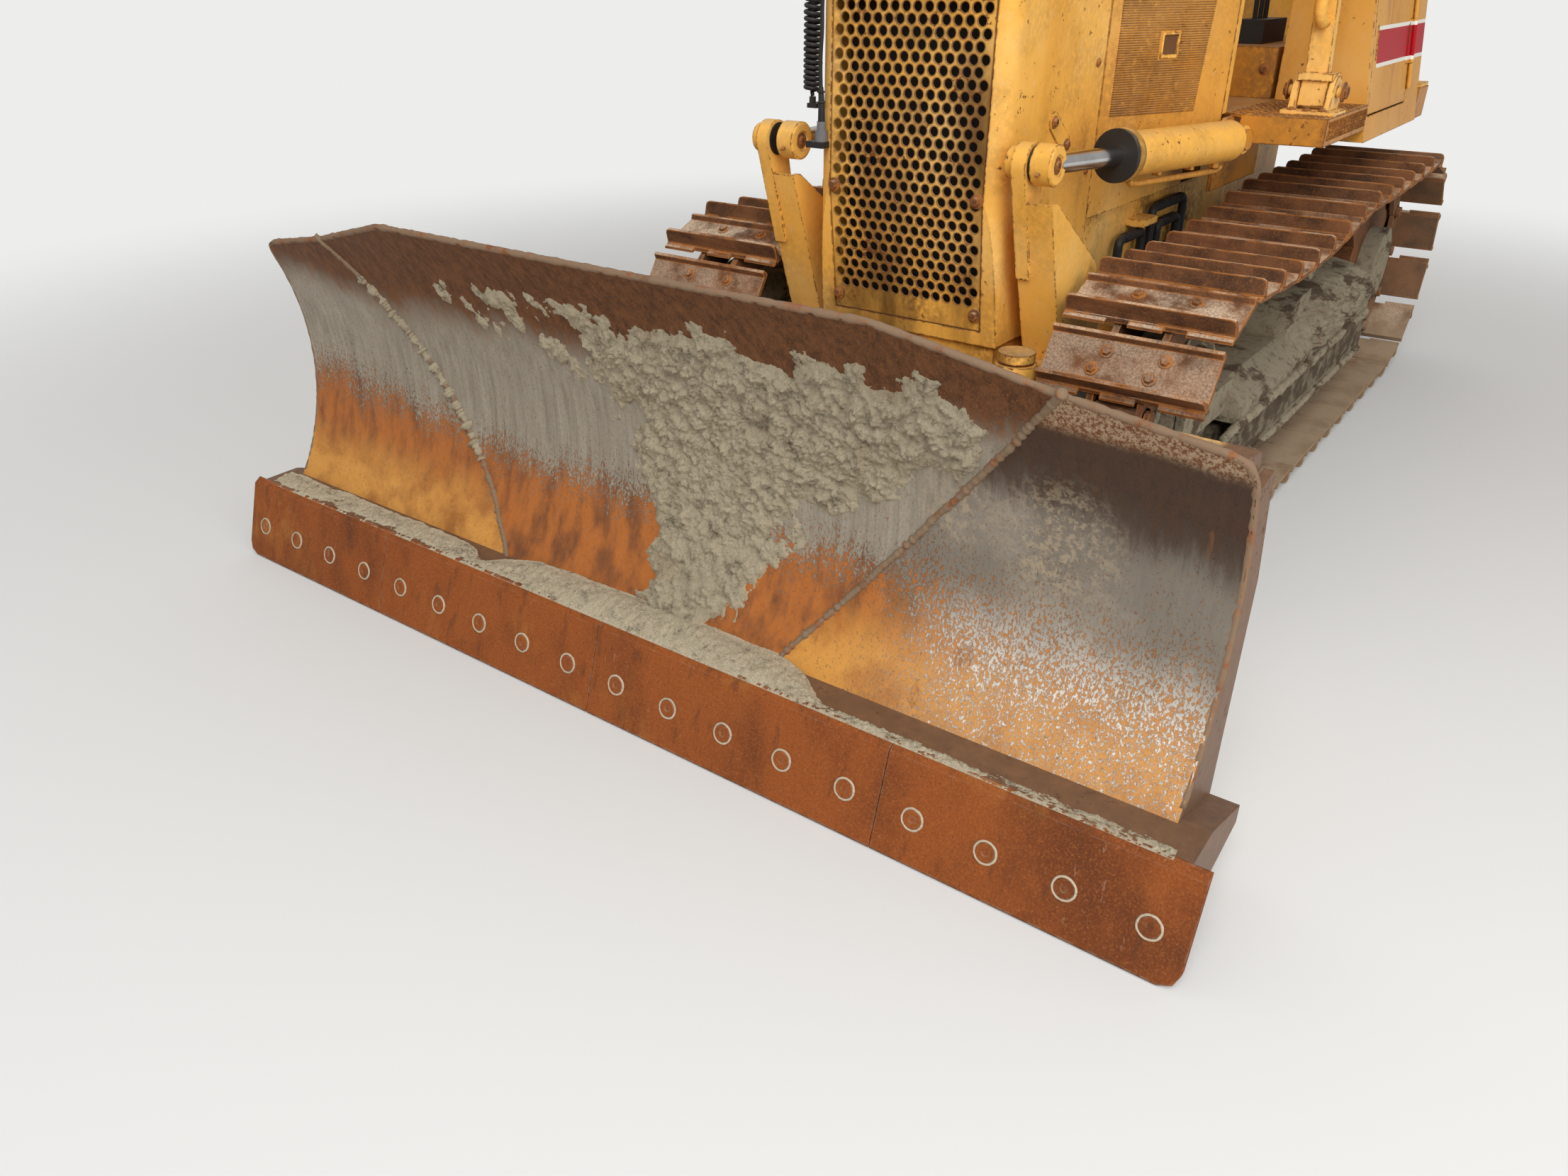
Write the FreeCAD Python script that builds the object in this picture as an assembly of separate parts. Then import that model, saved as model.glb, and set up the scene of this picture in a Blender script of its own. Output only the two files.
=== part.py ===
import FreeCAD, Part
import math
import os

# Crawler bulldozer with an angling and tilting blade, in millimetres.
# Forward is -Y, the machine's left is +X, the ground is Z = 0.
# Stations along Y are measured from the blade's pivot side of the machine and are moved at the
# end, so that the origin is on the ground under the middle of the whole machine.

V = FreeCAD.Vector
os.makedirs("parts", exist_ok=True)

# Blade
BLADE_HALF = 1275
BLADE_TOP = 980
BLADE_SHOULDER = 906
BLADE_CORNER = 862
TOP_FLAT_HALF = 650
SHOULDER_HALF = 969
CORNER_ROUND = 45
MOLD_RADIUS = 628
MOLD_DEEP_Y = 38
MOLD_DEEP_Z = 560
MOLD_FOOT_Z = 213
MOLD_WALL = 14
EDGE_PITCH = 152.4
EDGE_BOLTS = 18
EDGE_END = 69.6
EDGE_HEIGHT = 203
EDGE_THICK = 19
EDGE_FOOT_Y = -226
EDGE_FOOT_Z = 4
EDGE_LEAN_DEG = 17.3
EDGE_SEAM_AFTER = (4, 9, 14)
EDGE_CORNER = 35
BACK_Y = 130
BACK_LOW = 110
BACK_HIGH = 430

# Blade pivots
KING_Y = 300
KING_R = 35
TILT_Z = 340
TILT_R = 45
TILT_CYL_Z = 720
TILT_CYL_Y = 95
TILT_EYE_X = 550
EAR_X = 420
CYL_LEVEL_Z = 530
CORNER_PIN_X = 378
CORNER_PIN_Y = 1050
RUN_FIT = 0.3

# C-frame and lift
TRUNNION_Y = 2300
TRUNNION_Z = 480
TRUNNION_R = 35
ARM_INNER = 345
ARM_WIDE = 90
ARM_TALL = 120
NOSE_LOW = 220
NOSE_HIGH = 440
NOSE_PLATE = 40
LIFT_EYE_Y = 1072
LIFT_EYE_Z = 1064
LIFT_EYE_R = 50
LIFT_EYE_WIDE = 50
BOSS_WIDE = 38
TOWER_WIDE = 108
TOWER_TOP = 974
TOWER_LEFT_X = 327
TOWER_RIGHT_X = -461
EYE_GAP_LEFT = 10
EYE_GAP_RIGHT = 30
LIFT_ROOT_X = 560
LIFT_ROOT_Y = 2035
LIFT_ROOT_Z = 1037
LIFT_ROOT_R = 40
LIFT_ROOT_HALF = 25
LIFT_HINGE_TILT = 0.085
LIFT_BARREL_R = 57
LIFT_BARREL_LENGTH = 672
LIFT_ROD_R = 25
BRACKET_GAP = 16
BRACKET_THICK = 16
ANGLE_BARREL_R = 42
ANGLE_BARREL_LENGTH = 500
ANGLE_ROD_R = 24
TILT_BARREL_R = 36
TILT_BARREL_LENGTH = 360
TILT_ROD_R = 20

# Tracks
TRACK_X = 687
SHOE_WIDE = 438
SHOES = 37
IDLER_Y = 1310
IDLER_PITCH_R = 303
SPROCKET_Y = 3500
SPROCKET_TEETH = 12
SPROCKET_PITCH_R = 331
CARRIER_Y = 2420
CARRIER_SAG = 41
REAR_SAG = 8
SHOE_BASE = 50
SHOE_PLATE = 12
GROUSER_TALL = 43
GROUSER_WIDE = 12
GROUSER_AHEAD = 45
SHOE_LIP = 12
RAIL_IN = 42
RAIL_GAP = 40
RAIL_WIDE = 36
PIN_LINE = SHOE_BASE + SHOE_PLATE + GROUSER_TALL
SHOE_PHASE = 0.2
ROLLERS = 6
ROLLER_R = 80
ROLLER_FIRST = 1640
ROLLER_LAST = 3040
CARRIER_R = 60
FRAME_HALF = 150
FRAME_LOW = 270
FRAME_HIGH = 440
CARRIER_DROP = 12

# Hull and hood
HULL_HALF = 275
HULL_LOW = 340
HULL_HIGH = 835
HULL_FRONT = 1125
HULL_REAR = 3620
CASE_FRONT = 2640
COLLAR_R = 80
EQUALIZER_Y = 1810
FRAME_PIVOT_Y = 2900
CASE_TOP = 940
ENGINE_FRONT = 1480
ENGINE_REAR = 2060
ENGINE_HALF = 190
GUARD_HALF = 285
GUARD_FRONT = 1060
GUARD_REAR = 1630
GUARD_LOW = 575
GUARD_KINK_Z = 961
GUARD_SLANT = 0.127
GUARD_ROUND = 55
HOOD_TOP = 1560
SHEET = 8
GRILLE_HALF = 236
GRILLE_LOW = 615
GRILLE_HIGH = 1500
GRILLE_PITCH = 33
GRILLE_HOLE_R = 12
GRILLE_THICK = 5
PANEL_LOW = 1000
PANEL_REAR = 2075
PANEL_FLARE_DEG = 25
PANEL_THICK = 12
COWL_THICK = 35
PEDAL_SHARE = 0.23622
COWL_TOP = HOOD_TOP + 60
STACK_X = 130
STACK_TALL = 520

# Operator's platform
FLOOR_Z = 1100
FLOOR_THICK = 8
DECK_NOTCH = LIFT_ROOT_Y + 64
DECK_FRONT = DECK_NOTCH + 25
DECK_NOTCH_X = 542
DECK_HALF = 785
DECK_SKIRT = 78
BOX_FRONT = 2620
BOX_REAR = BOX_FRONT + 810
BOX_INNER = 490
BOX_LOW = 985
BOX_HIGH = 1500
BOX_FOOT_X = DECK_HALF + 8
BOX_LEAN = 0.13
BOX_WALL = 6
DOOR_GAP = 6
DOOR_FRONT = BOX_FRONT + 30
DOOR_REAR = BOX_REAR - 230
DOOR_LOW = BOX_LOW + 82
DOOR_HIGH = BOX_HIGH - 45
HINGE_OUT = 9
HINGE_BACK = 6
KNUCKLE_R = 7
HINGE_LOW = DOOR_LOW + 123
HINGE_HIGH = DOOR_HIGH - 125
RISER_HIGH = FLOOR_Z + 156
RISER_REAR = BOX_REAR - 30
SEAT_HALF = 240
SEAT_FRONT = BOX_FRONT + 60
SEAT_REAR = SEAT_FRONT + 470
SEAT_LOW = RISER_HIGH + 114
SEAT_THICK = 100
BACKREST_THICK = 110
BACKREST_TOP = SEAT_LOW + 580
TANK_REAR = BOX_REAR + 420
TANK_LOW = CASE_TOP + 10
TANK_ROUND = 60
POST_WIDE = 64
POST_DEEP = 40
POST_FOOT_X = DECK_HALF - 81
POST_LEAN = 0.07
POST_FRONT_Y = DECK_FRONT + 146
POST_REAR_Y = BOX_REAR + 90
EAR_THICK = 18
EAR_GAP = 4
RAIL_R = 17
RAIL_STAND = 50
RAIL_LOW = 1348
RAIL_HIGH = 1980
ROOF_LOW = 2540
ROOF_THICK = 80
ROOF_HALF = POST_FOOT_X + 6
ROOF_FRONT = POST_FRONT_Y - 140
ROOF_REAR = POST_REAR_Y + 120
DRAWBAR_REAR = HULL_REAR + 400
DRAWBAR_PIN_R = 18
DRAWBAR_Z = 430

# Hoses on the hull's side, and the curly cable beside the radiator guard
HOSE_R = 14
HOSE_OUT = 30
CABLE_R = 5.5
COIL_R = 27
COIL_X = -305
COIL_Y = 1070
COIL_LOW = 1180
COIL_HIGH = 1445
PLUG_X = -258.5
PLUG_Y = 1046.5
PLUG_LOW = 1071
PLUG_HIGH = 1122
HOOK_X = -296
HOOK_BACK = 1150
HOOK_Z = 1525
HOOK_R = 8

# The whole machine's middle, which the origin stands under
MIDDLE_Y = (EDGE_FOOT_Y + DRAWBAR_REAR) / 2


# Basic shapes

def box(x0, x1, y0, y1, z0, z1):
    return Part.makeBox(x1 - x0, y1 - y0, z1 - z0, V(x0, y0, z0))


def bar(start, end, radius):
    run = end - start
    return Part.makeCylinder(radius, run.Length, start, run)


def tube(start, end, radius, bore):
    run = end - start
    return bar(start, end, radius).cut(bar(start - run * 0.01, end + run * 0.01, bore))


def place(plane, a, b, height):
    return {"yz": V(height, a, b), "xz": V(a, height, b), "xy": V(a, b, height)}[plane]


def outline(points, plane, height=0.0):
    """Closed wire: a point is (a, b), or (mid a, mid b, a, b) for an arc that ends there."""
    edges = []
    last = place(plane, *points[-1][-2:], height)
    for point in points:
        end = place(plane, *point[-2:], height)
        if len(point) == 4:
            edges.append(Part.Arc(last, place(plane, *point[:2], height), end).toShape())
        elif end.distanceToPoint(last) > 1e-6:
            edges.append(Part.LineSegment(last, end).toShape())
        last = end
    return Part.Wire(edges)


def slab(points, plane, low, high):
    return Part.Face(outline(points, plane, low)).extrude(place(plane, 0, 0, high - low))


def rounded(half_x, y0, y1, radius, z0, z1):
    """Upright box with rounded front corners."""
    bend = radius * (1 - math.sqrt(0.5))
    points = [(-half_x, y1), (-half_x, y0 + radius),
              (-half_x + bend, y0 + bend, -half_x + radius, y0), (half_x - radius, y0),
              (half_x - bend, y0 + bend, half_x, y0 + radius), (half_x, y1)]
    return slab(points, "xy", z0, z1)


def bent_pipe(points, radius, bend):
    """Round pipe along straight runs joined by tangent arcs of one bend radius."""
    edges = []
    last = points[0]
    for before, corner, after in zip(points, points[1:], points[2:]):
        come = (corner - before).normalize()
        go = (after - corner).normalize()
        turn = come.getAngle(go)
        back = bend * math.tan(turn / 2)
        start = corner - come * back
        end = corner + go * back
        inward = (go - come).normalize()
        mid = corner + inward * (bend / math.cos(turn / 2) - bend)
        edges += [Part.LineSegment(last, start).toShape(), Part.Arc(start, mid, end).toShape()]
        last = end
    edges.append(Part.LineSegment(last, points[-1]).toShape())
    circle = Part.Wire(Part.makeCircle(radius, points[0], points[1] - points[0]))
    return Part.Wire(edges).makePipeShell([circle], True, False)


def mirrored(shape):
    return shape.mirror(V(0, 0, 0), V(1, 0, 0))


def both_sides(shape):
    return [shape, mirrored(shape)]


def joined(shapes):
    return shapes[0].fuse(shapes[1:]).removeSplitter()


def save(node, *shapes):
    """Write one node: its solids, moved so that the origin is under the machine's middle."""
    solids = [solid for shape in shapes for solid in shape.Solids]
    whole = Part.makeCompound(solids)
    whole.translate(V(0, -MIDDLE_Y, 0))
    if not whole.isValid():
        print("not valid:", node)
    whole.exportStep("parts/" + node + ".step")


# Blade

def mold_y(z, behind=0.0):
    """Y of the moldboard's face at a height, or of a surface that far behind it."""
    radius = MOLD_RADIUS + behind
    return MOLD_DEEP_Y - MOLD_RADIUS + math.sqrt(radius ** 2 - (z - MOLD_DEEP_Z) ** 2)


def moldboard():
    deep = MOLD_DEEP_Z
    section = [(mold_y(MOLD_FOOT_Z), MOLD_FOOT_Z),
               (mold_y(deep), deep, mold_y(BLADE_TOP), BLADE_TOP),
               (mold_y(BLADE_TOP, MOLD_WALL), BLADE_TOP),
               (mold_y(deep, MOLD_WALL), deep, mold_y(MOLD_FOOT_Z, MOLD_WALL), MOLD_FOOT_Z)]
    bend = CORNER_ROUND * (1 - math.sqrt(0.5))
    end = BLADE_HALF
    right = [(TOP_FLAT_HALF, BLADE_TOP), (SHOULDER_HALF, BLADE_SHOULDER),
             (end - CORNER_ROUND, BLADE_CORNER),
             (end - bend, BLADE_CORNER - bend, end, BLADE_CORNER - CORNER_ROUND),
             (end, MOLD_FOOT_Z)]
    left = [(-end, MOLD_FOOT_Z), (-end, BLADE_CORNER - CORNER_ROUND),
            (-end + bend, BLADE_CORNER - bend, -end + CORNER_ROUND, BLADE_CORNER),
            (-SHOULDER_HALF, BLADE_SHOULDER), (-TOP_FLAT_HALF, BLADE_TOP)]
    sheet = slab(section, "yz", -BLADE_HALF, BLADE_HALF)
    return sheet.common(slab(right + left, "xz", -400, 400))


def space_ahead():
    """Everything ahead of the moldboard's back, which the frame behind it is trimmed to."""
    back = [(-400, MOLD_FOOT_Z), (-400, BLADE_TOP), (mold_y(BLADE_TOP, MOLD_WALL), BLADE_TOP),
            (mold_y(MOLD_DEEP_Z, MOLD_WALL), MOLD_DEEP_Z, mold_y(MOLD_FOOT_Z, MOLD_WALL), MOLD_FOOT_Z)]
    return slab(back, "yz", -BLADE_HALF - 1, BLADE_HALF + 1)


def edge_point(up, behind=0.0):
    """Y and Z of a point that far up the cutting edge's face and that far behind it."""
    lean = math.radians(EDGE_LEAN_DEG)
    return (EDGE_FOOT_Y + up * math.sin(lean) + behind * math.cos(lean),
            EDGE_FOOT_Z + up * math.cos(lean) + behind * (1 - math.sin(lean)))


def cutting_edges():
    """Four bolt-on plates in a row, each with its bolts' flush heads."""
    first = -(EDGE_BOLTS - 1) * EDGE_PITCH / 2
    ends = [first - EDGE_END]
    ends += [first + (count - 0.5) * EDGE_PITCH for count in EDGE_SEAM_AFTER]
    ends.append(-first + EDGE_END)
    section = [edge_point(0), edge_point(EDGE_HEIGHT),
               edge_point(EDGE_HEIGHT, EDGE_THICK), edge_point(0, EDGE_THICK)]
    seam = 1.0
    end = ends[-1]
    bend = EDGE_CORNER * (1 - math.sqrt(0.5))
    low = EDGE_FOOT_Z
    front = [(end - EDGE_CORNER, low), (end - bend, low + bend), (end, low + EDGE_CORNER), (end, BLADE_TOP),
             (-end, BLADE_TOP), (-end, low + EDGE_CORNER), (bend - end, low + bend), (EDGE_CORNER - end, low)]
    worn = slab(front, "xz", -400, 400)
    return [slab(section, "yz", a + seam, b - seam).common(worn) for a, b in zip(ends, ends[1:])]


def blade_frame():
    """Box beam, base rail, ribs and brackets behind the moldboard, as one weldment."""
    wall = MOLD_WALL
    rail_half = (EDGE_BOLTS - 1) * EDGE_PITCH / 2 + EDGE_END / 2
    top_back = edge_point(EDGE_HEIGHT, EDGE_THICK)
    low_back = edge_point(35, EDGE_THICK)
    rail = [low_back, top_back, (mold_y(MOLD_FOOT_Z), MOLD_FOOT_Z),
            (mold_y(MOLD_FOOT_Z, wall), MOLD_FOOT_Z), (BACK_Y, BACK_LOW + 40), (BACK_Y, BACK_LOW),
            (low_back[0] + 60, low_back[1])]
    beam_front = [(mold_y(z, wall), z) for z in (MOLD_FOOT_Z, BACK_HIGH)]
    beam_mid = (BACK_HIGH + MOLD_FOOT_Z) / 2
    beam = [beam_front[0], (mold_y(beam_mid, wall), beam_mid) + beam_front[1],
            (BACK_Y, BACK_HIGH - 40), (BACK_Y, BACK_LOW + 40)]
    parts = [slab(rail, "yz", -rail_half, rail_half), slab(beam, "yz", -BLADE_HALF + 90, BLADE_HALF - 90)]
    top_low = BLADE_CORNER - 62
    top_mid = BLADE_CORNER - 32
    top_high = BLADE_CORNER - 4
    top = [(mold_y(top_low, wall), top_low),
           (mold_y(top_mid, wall), top_mid, mold_y(top_high, wall), top_high),
           (60, top_high - 13), (75, top_low + 12)]
    parts.append(slab(top, "yz", -BLADE_HALF + 20, BLADE_HALF - 20))
    end_rib = [beam_front[0], (mold_y(MOLD_DEEP_Z, wall), MOLD_DEEP_Z, mold_y(top_low, wall), top_low),
               (75, top_low + 12), (BACK_Y, MOLD_DEEP_Z + 40), (BACK_Y, BACK_LOW + 40)]
    mid_rib = [beam_front[1], (mold_y(BACK_HIGH + 70, wall), BACK_HIGH + 70,
                               mold_y(BACK_HIGH + 140, wall), BACK_HIGH + 140),
               (BACK_Y - 30, BACK_HIGH + 140),
               (BACK_Y, BACK_HIGH - 40)]
    rib = 16
    for x in (BLADE_HALF - rib, 900):
        parts += both_sides(slab(end_rib, "yz", x, x + rib))
    for x in (250, 640):
        parts += both_sides(slab(mid_rib, "yz", x, x + rib))
    socket = bar(V(0, -30, TILT_Z), V(0, BACK_Y, TILT_Z), 95)
    parts.append(socket)
    eye_depth = TILT_CYL_Y - 26
    cheek_low = TILT_CYL_Z - 120
    cheek = [(TILT_EYE_X - 45, cheek_low), (TILT_EYE_X - 45, TILT_CYL_Z + 10),
             (TILT_EYE_X, TILT_CYL_Z + 55, TILT_EYE_X + 45, TILT_CYL_Z + 10), (TILT_EYE_X + 45, cheek_low)]
    parts.append(slab(cheek, "xz", 0, eye_depth - 6))
    parts.append(bar(V(TILT_EYE_X, 40, TILT_CYL_Z), V(TILT_EYE_X, TILT_CYL_Y + 32, TILT_CYL_Z), 14))
    parts.append(bar(V(TILT_EYE_X, TILT_CYL_Y + 24, TILT_CYL_Z),
                     V(TILT_EYE_X, TILT_CYL_Y + 32, TILT_CYL_Z), 26))
    weldment = joined(parts).cut(space_ahead())
    bore = bar(V(0, 40, TILT_Z), V(0, BACK_Y + 10, TILT_Z), TILT_R + RUN_FIT)
    return weldment.cut(bore)


# Angle yoke, between the C-frame's nose and the blade

def angle_yoke():
    hub_low = NOSE_LOW + NOSE_PLATE + 5
    hub_high = NOSE_HIGH - NOSE_PLATE - 5
    face = BACK_Y + 20
    plate_back = KING_Y - 90
    wing_low = NOSE_HIGH + 20
    wing_high = CYL_LEVEL_Z - 30
    hub = bar(V(0, KING_Y, hub_low), V(0, KING_Y, hub_high), 75)
    plate = box(-160, 160, face, plate_back, NOSE_LOW, wing_high + 60)
    web = box(-60, 60, face, KING_Y, hub_low, hub_high)
    wing = [(0, face), (EAR_X - 40, KING_Y - 70), (EAR_X + 48, KING_Y - 25), (EAR_X + 50, KING_Y),
            (EAR_X, KING_Y + 50, EAR_X - 50, KING_Y), (160, plate_back), (0, plate_back)]
    wings = both_sides(slab(wing, "xy", wing_low, wing_high))
    pin = bar(V(0, 60, TILT_Z), V(0, plate_back, TILT_Z), TILT_R)
    mast = [(-160, wing_high), (-45, TILT_CYL_Z + 10), (0, TILT_CYL_Z + 55, 45, TILT_CYL_Z + 10),
            (160, wing_high)]
    mast_plate = slab(mast, "xz", face, face + 30)
    mast_pin = bar(V(0, TILT_CYL_Y - 30, TILT_CYL_Z), V(0, face, TILT_CYL_Z), 16)
    body = joined([hub, plate, web, pin, mast_plate, mast_pin] + wings)
    bore = bar(V(0, KING_Y, hub_low - 1), V(0, KING_Y, hub_high + 1), KING_R + RUN_FIT)
    return body.cut(bore)


# C-frame and its lift towers

def c_frame():
    arm_high = TRUNNION_Z + ARM_TALL / 2
    arm_low = TRUNNION_Z - ARM_TALL / 2
    arm_outer = ARM_INNER + ARM_WIDE
    corner_back = CORNER_PIN_Y + 80
    arm = box(ARM_INNER, arm_outer, corner_back, TRUNNION_Y, arm_low, arm_high)
    eye = bar(V(ARM_INNER, TRUNNION_Y, TRUNNION_Z), V(arm_outer, TRUNNION_Y, TRUNNION_Z), 72)
    corner = box(ARM_INNER - 20, arm_outer, CORNER_PIN_Y - 60, corner_back + 90, NOSE_LOW + 60, NOSE_HIGH + 20)
    pin_foot = V(CORNER_PIN_X, CORNER_PIN_Y, NOSE_HIGH)
    pin = bar(pin_foot, V(CORNER_PIN_X, CORNER_PIN_Y, CYL_LEVEL_Z + 70), 25)
    head = bar(V(CORNER_PIN_X, CORNER_PIN_Y, CYL_LEVEL_Z + 45),
               V(CORNER_PIN_X, CORNER_PIN_Y, CYL_LEVEL_Z + 70), 50)
    side = joined([arm, eye, corner, pin, head])
    side = side.cut(bar(V(0, TRUNNION_Y, TRUNNION_Z), V(500, TRUNNION_Y, TRUNNION_Z), TRUNNION_R + RUN_FIT))
    nose_r = 80
    half = [(nose_r, KING_Y), (200, KING_Y + 250), (arm_outer, CORNER_PIN_Y - 70),
            (arm_outer, corner_back), (ARM_INNER - 20, corner_back), (ARM_INNER - 20, 1000),
            (300, 945), (110, KING_Y + 330)]
    mirror_half = [(-x, y) for x, y in reversed(half)]
    plan = half + mirror_half + [(0, KING_Y - nose_r, nose_r, KING_Y)]
    ring = slab(plan, "xy", NOSE_LOW, NOSE_HIGH)
    slot = bar(V(0, KING_Y, NOSE_LOW + NOSE_PLATE), V(0, KING_Y, NOSE_HIGH - NOSE_PLATE), 125)
    ring = ring.cut(slot)
    king = bar(V(0, KING_Y, NOSE_LOW - 10), V(0, KING_Y, NOSE_HIGH + 12), KING_R)
    return joined([ring, king] + both_sides(side))


def tower(x0):
    """One lift tower from its low -X face: two flared plates, a front web and the pin's boss."""
    foot_z = TRUNNION_Z + ARM_TALL / 2
    wall = 14
    front = [(1200, foot_z), (1045, TOWER_TOP)]
    flare = front + [(1082, TOWER_TOP), (1181, 907), (1362, 790), (1440, 690), (1450, foot_z)]
    web = front + [(1045 + wall, TOWER_TOP), (1200 + wall, foot_z)]
    neck = [(1108, foot_z + 230), (LIFT_EYE_Y - LIFT_EYE_R, LIFT_EYE_Z - 20),
            (LIFT_EYE_Y, LIFT_EYE_Z + LIFT_EYE_R, LIFT_EYE_Y + LIFT_EYE_R - 6, LIFT_EYE_Z - 22),
            (1150, foot_z + 330)]
    x1 = x0 + TOWER_WIDE
    parts = [slab(flare, "yz", x0, x0 + wall), slab(flare, "yz", x1 - wall, x1), slab(web, "yz", x0, x1),
             slab(neck, "yz", x0, x0 + BOSS_WIDE)]
    parts.append(bar(V(x0 - 26, LIFT_EYE_Y, LIFT_EYE_Z), V(x0, LIFT_EYE_Y, LIFT_EYE_Z), 38))
    return joined(parts)


def lift_towers():
    return [tower(TOWER_LEFT_X), tower(TOWER_RIGHT_X)]


# Cylinders, each built along its own +Y axis from its root eye

def aimed(shape, root, along, hinge):
    """Move a shape so that its X is the hinge's axis and its Y runs along the cylinder."""
    up = hinge.cross(along)
    turn = FreeCAD.Rotation(hinge, along, up, "XYZ")
    moved = shape.copy()
    moved.Placement = FreeCAD.Placement(root, turn).multiply(moved.Placement)
    return moved


def barrel(length, radius, rod_r, eye_r, eye_half, pin_r, gland):
    """Closed tube with a root eye across X, a gland at its mouth and a bore for the rod."""
    eye = bar(V(-eye_half, 0, 0), V(eye_half, 0, 0), eye_r)
    neck = bar(V(0, 0, 0), V(0, eye_r + 20, 0), eye_half * 0.95)
    body = bar(V(0, eye_r + 14, 0), V(0, length, 0), radius)
    ring = bar(V(0, length - gland, 0), V(0, length, 0), radius + gland * 0.25)
    whole = joined([eye, neck, body, ring])
    whole = whole.cut(bar(V(0, eye_r + 28, 0), V(0, length + 1, 0), rod_r + RUN_FIT))
    return whole.cut(bar(V(-eye_half - 1, 0, 0), V(eye_half + 1, 0, 0), pin_r + RUN_FIT))


def rod(start, length, radius, eye_r, eye_half):
    """Rod from inside the barrel to its end eye across X."""
    shaft = bar(V(0, start, 0), V(0, length - eye_r * 0.6, 0), radius)
    return shaft.fuse(bar(V(-eye_half, length, 0), V(eye_half, length, 0), eye_r))


def lift_frames():
    """Root, direction, hinge axis and length of the left and right lift cylinders."""
    rod_left = TOWER_LEFT_X + BOSS_WIDE + EYE_GAP_LEFT + LIFT_EYE_WIDE / 2
    rod_right = TOWER_RIGHT_X + BOSS_WIDE + EYE_GAP_RIGHT + LIFT_EYE_WIDE / 2
    frames = {}
    for side, sign, x in (("left", 1, rod_left), ("right", -1, rod_right)):
        root = V(sign * LIFT_ROOT_X, LIFT_ROOT_Y, LIFT_ROOT_Z)
        run = V(x, LIFT_EYE_Y, LIFT_EYE_Z) - root
        along = V(run).normalize()
        flat = V(0, 0, 1).cross(along).normalize()
        raised = along.cross(flat)
        hinge = flat * math.cos(LIFT_HINGE_TILT) + raised * (sign * math.sin(LIFT_HINGE_TILT))
        frames[side] = (root, along, hinge, run.Length)
    return frames


def lift_cylinder(side):
    root, along, hinge, length = lift_frames()[side]
    half = LIFT_EYE_WIDE / 2
    tube_part = barrel(LIFT_BARREL_LENGTH, LIFT_BARREL_R, LIFT_ROD_R, LIFT_ROOT_R, LIFT_ROOT_HALF, 22, 42)
    end = root + along * length
    shaft = bar(root + along * 240, end - along * (LIFT_EYE_R * 0.6), LIFT_ROD_R)
    eye = bar(end - V(half, 0, 0), end + V(half, 0, 0), LIFT_EYE_R)
    return aimed(tube_part, root, along, hinge), shaft.fuse(eye)


def lift_bracket(side):
    """Arm under the deck's front edge and the pin that hold a lift cylinder's root eye."""
    root, along, hinge, length = lift_frames()[side]
    sign = 1 if side == "left" else -1
    under = FLOOR_Z - FLOOR_THICK
    near = LIFT_ROOT_HALF + BRACKET_GAP
    far = near + BRACKET_THICK
    reach = LIFT_ROOT_R - 4
    rear = DECK_NOTCH + 96
    x0 = root.x - far if sign > 0 else root.x + near
    arm = [(root.y - reach, root.z - 24), (root.y - reach, root.z + 24), (root.y + 20, under),
           (rear, under), (rear, under - 60), (root.y + 30, root.z - reach)]
    plate = slab(arm, "yz", x0, x0 + BRACKET_THICK)
    inward = hinge if hinge.x * sign < 0 else hinge * -1
    pin = bar(root - inward * (LIFT_ROOT_HALF + 4), root + inward * (far - 1), 22)
    collar = bar(root + inward * (LIFT_ROOT_HALF + 5), root + inward * (far - 3), 30)
    head = bar(root - inward * (LIFT_ROOT_HALF + 12), root - inward * (LIFT_ROOT_HALF + 4), 30)
    return joined([plate, pin, collar, head])


def angle_frame(sign):
    root = V(sign * CORNER_PIN_X, CORNER_PIN_Y, CYL_LEVEL_Z)
    run = V(sign * EAR_X, KING_Y, CYL_LEVEL_Z) - root
    return root, V(run).normalize(), V(0, 0, 1), run.Length


def angle_cylinder(sign):
    root, along, hinge, length = angle_frame(sign)
    tube_part = barrel(ANGLE_BARREL_LENGTH, ANGLE_BARREL_R, ANGLE_ROD_R, 55, 38, 25, 30)
    rod_part = rod(265, length, ANGLE_ROD_R, 48, 23)
    return aimed(tube_part, root, along, hinge), aimed(rod_part, root, along, hinge)


def tilt_cylinder():
    root = V(0, TILT_CYL_Y, TILT_CYL_Z)
    along = V(1, 0, 0)
    hinge = V(0, 1, 0)
    tube_part = barrel(TILT_BARREL_LENGTH, TILT_BARREL_R, TILT_ROD_R, 34, 24, 16, 20)
    rod_part = rod(120, TILT_EYE_X, TILT_ROD_R, 34, 20)
    rod_part = rod_part.cut(bar(V(-30, TILT_EYE_X, 0), V(30, TILT_EYE_X, 0), 20))
    return aimed(tube_part, root, along, hinge), aimed(rod_part, root, along, hinge)


# Tracks

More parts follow.
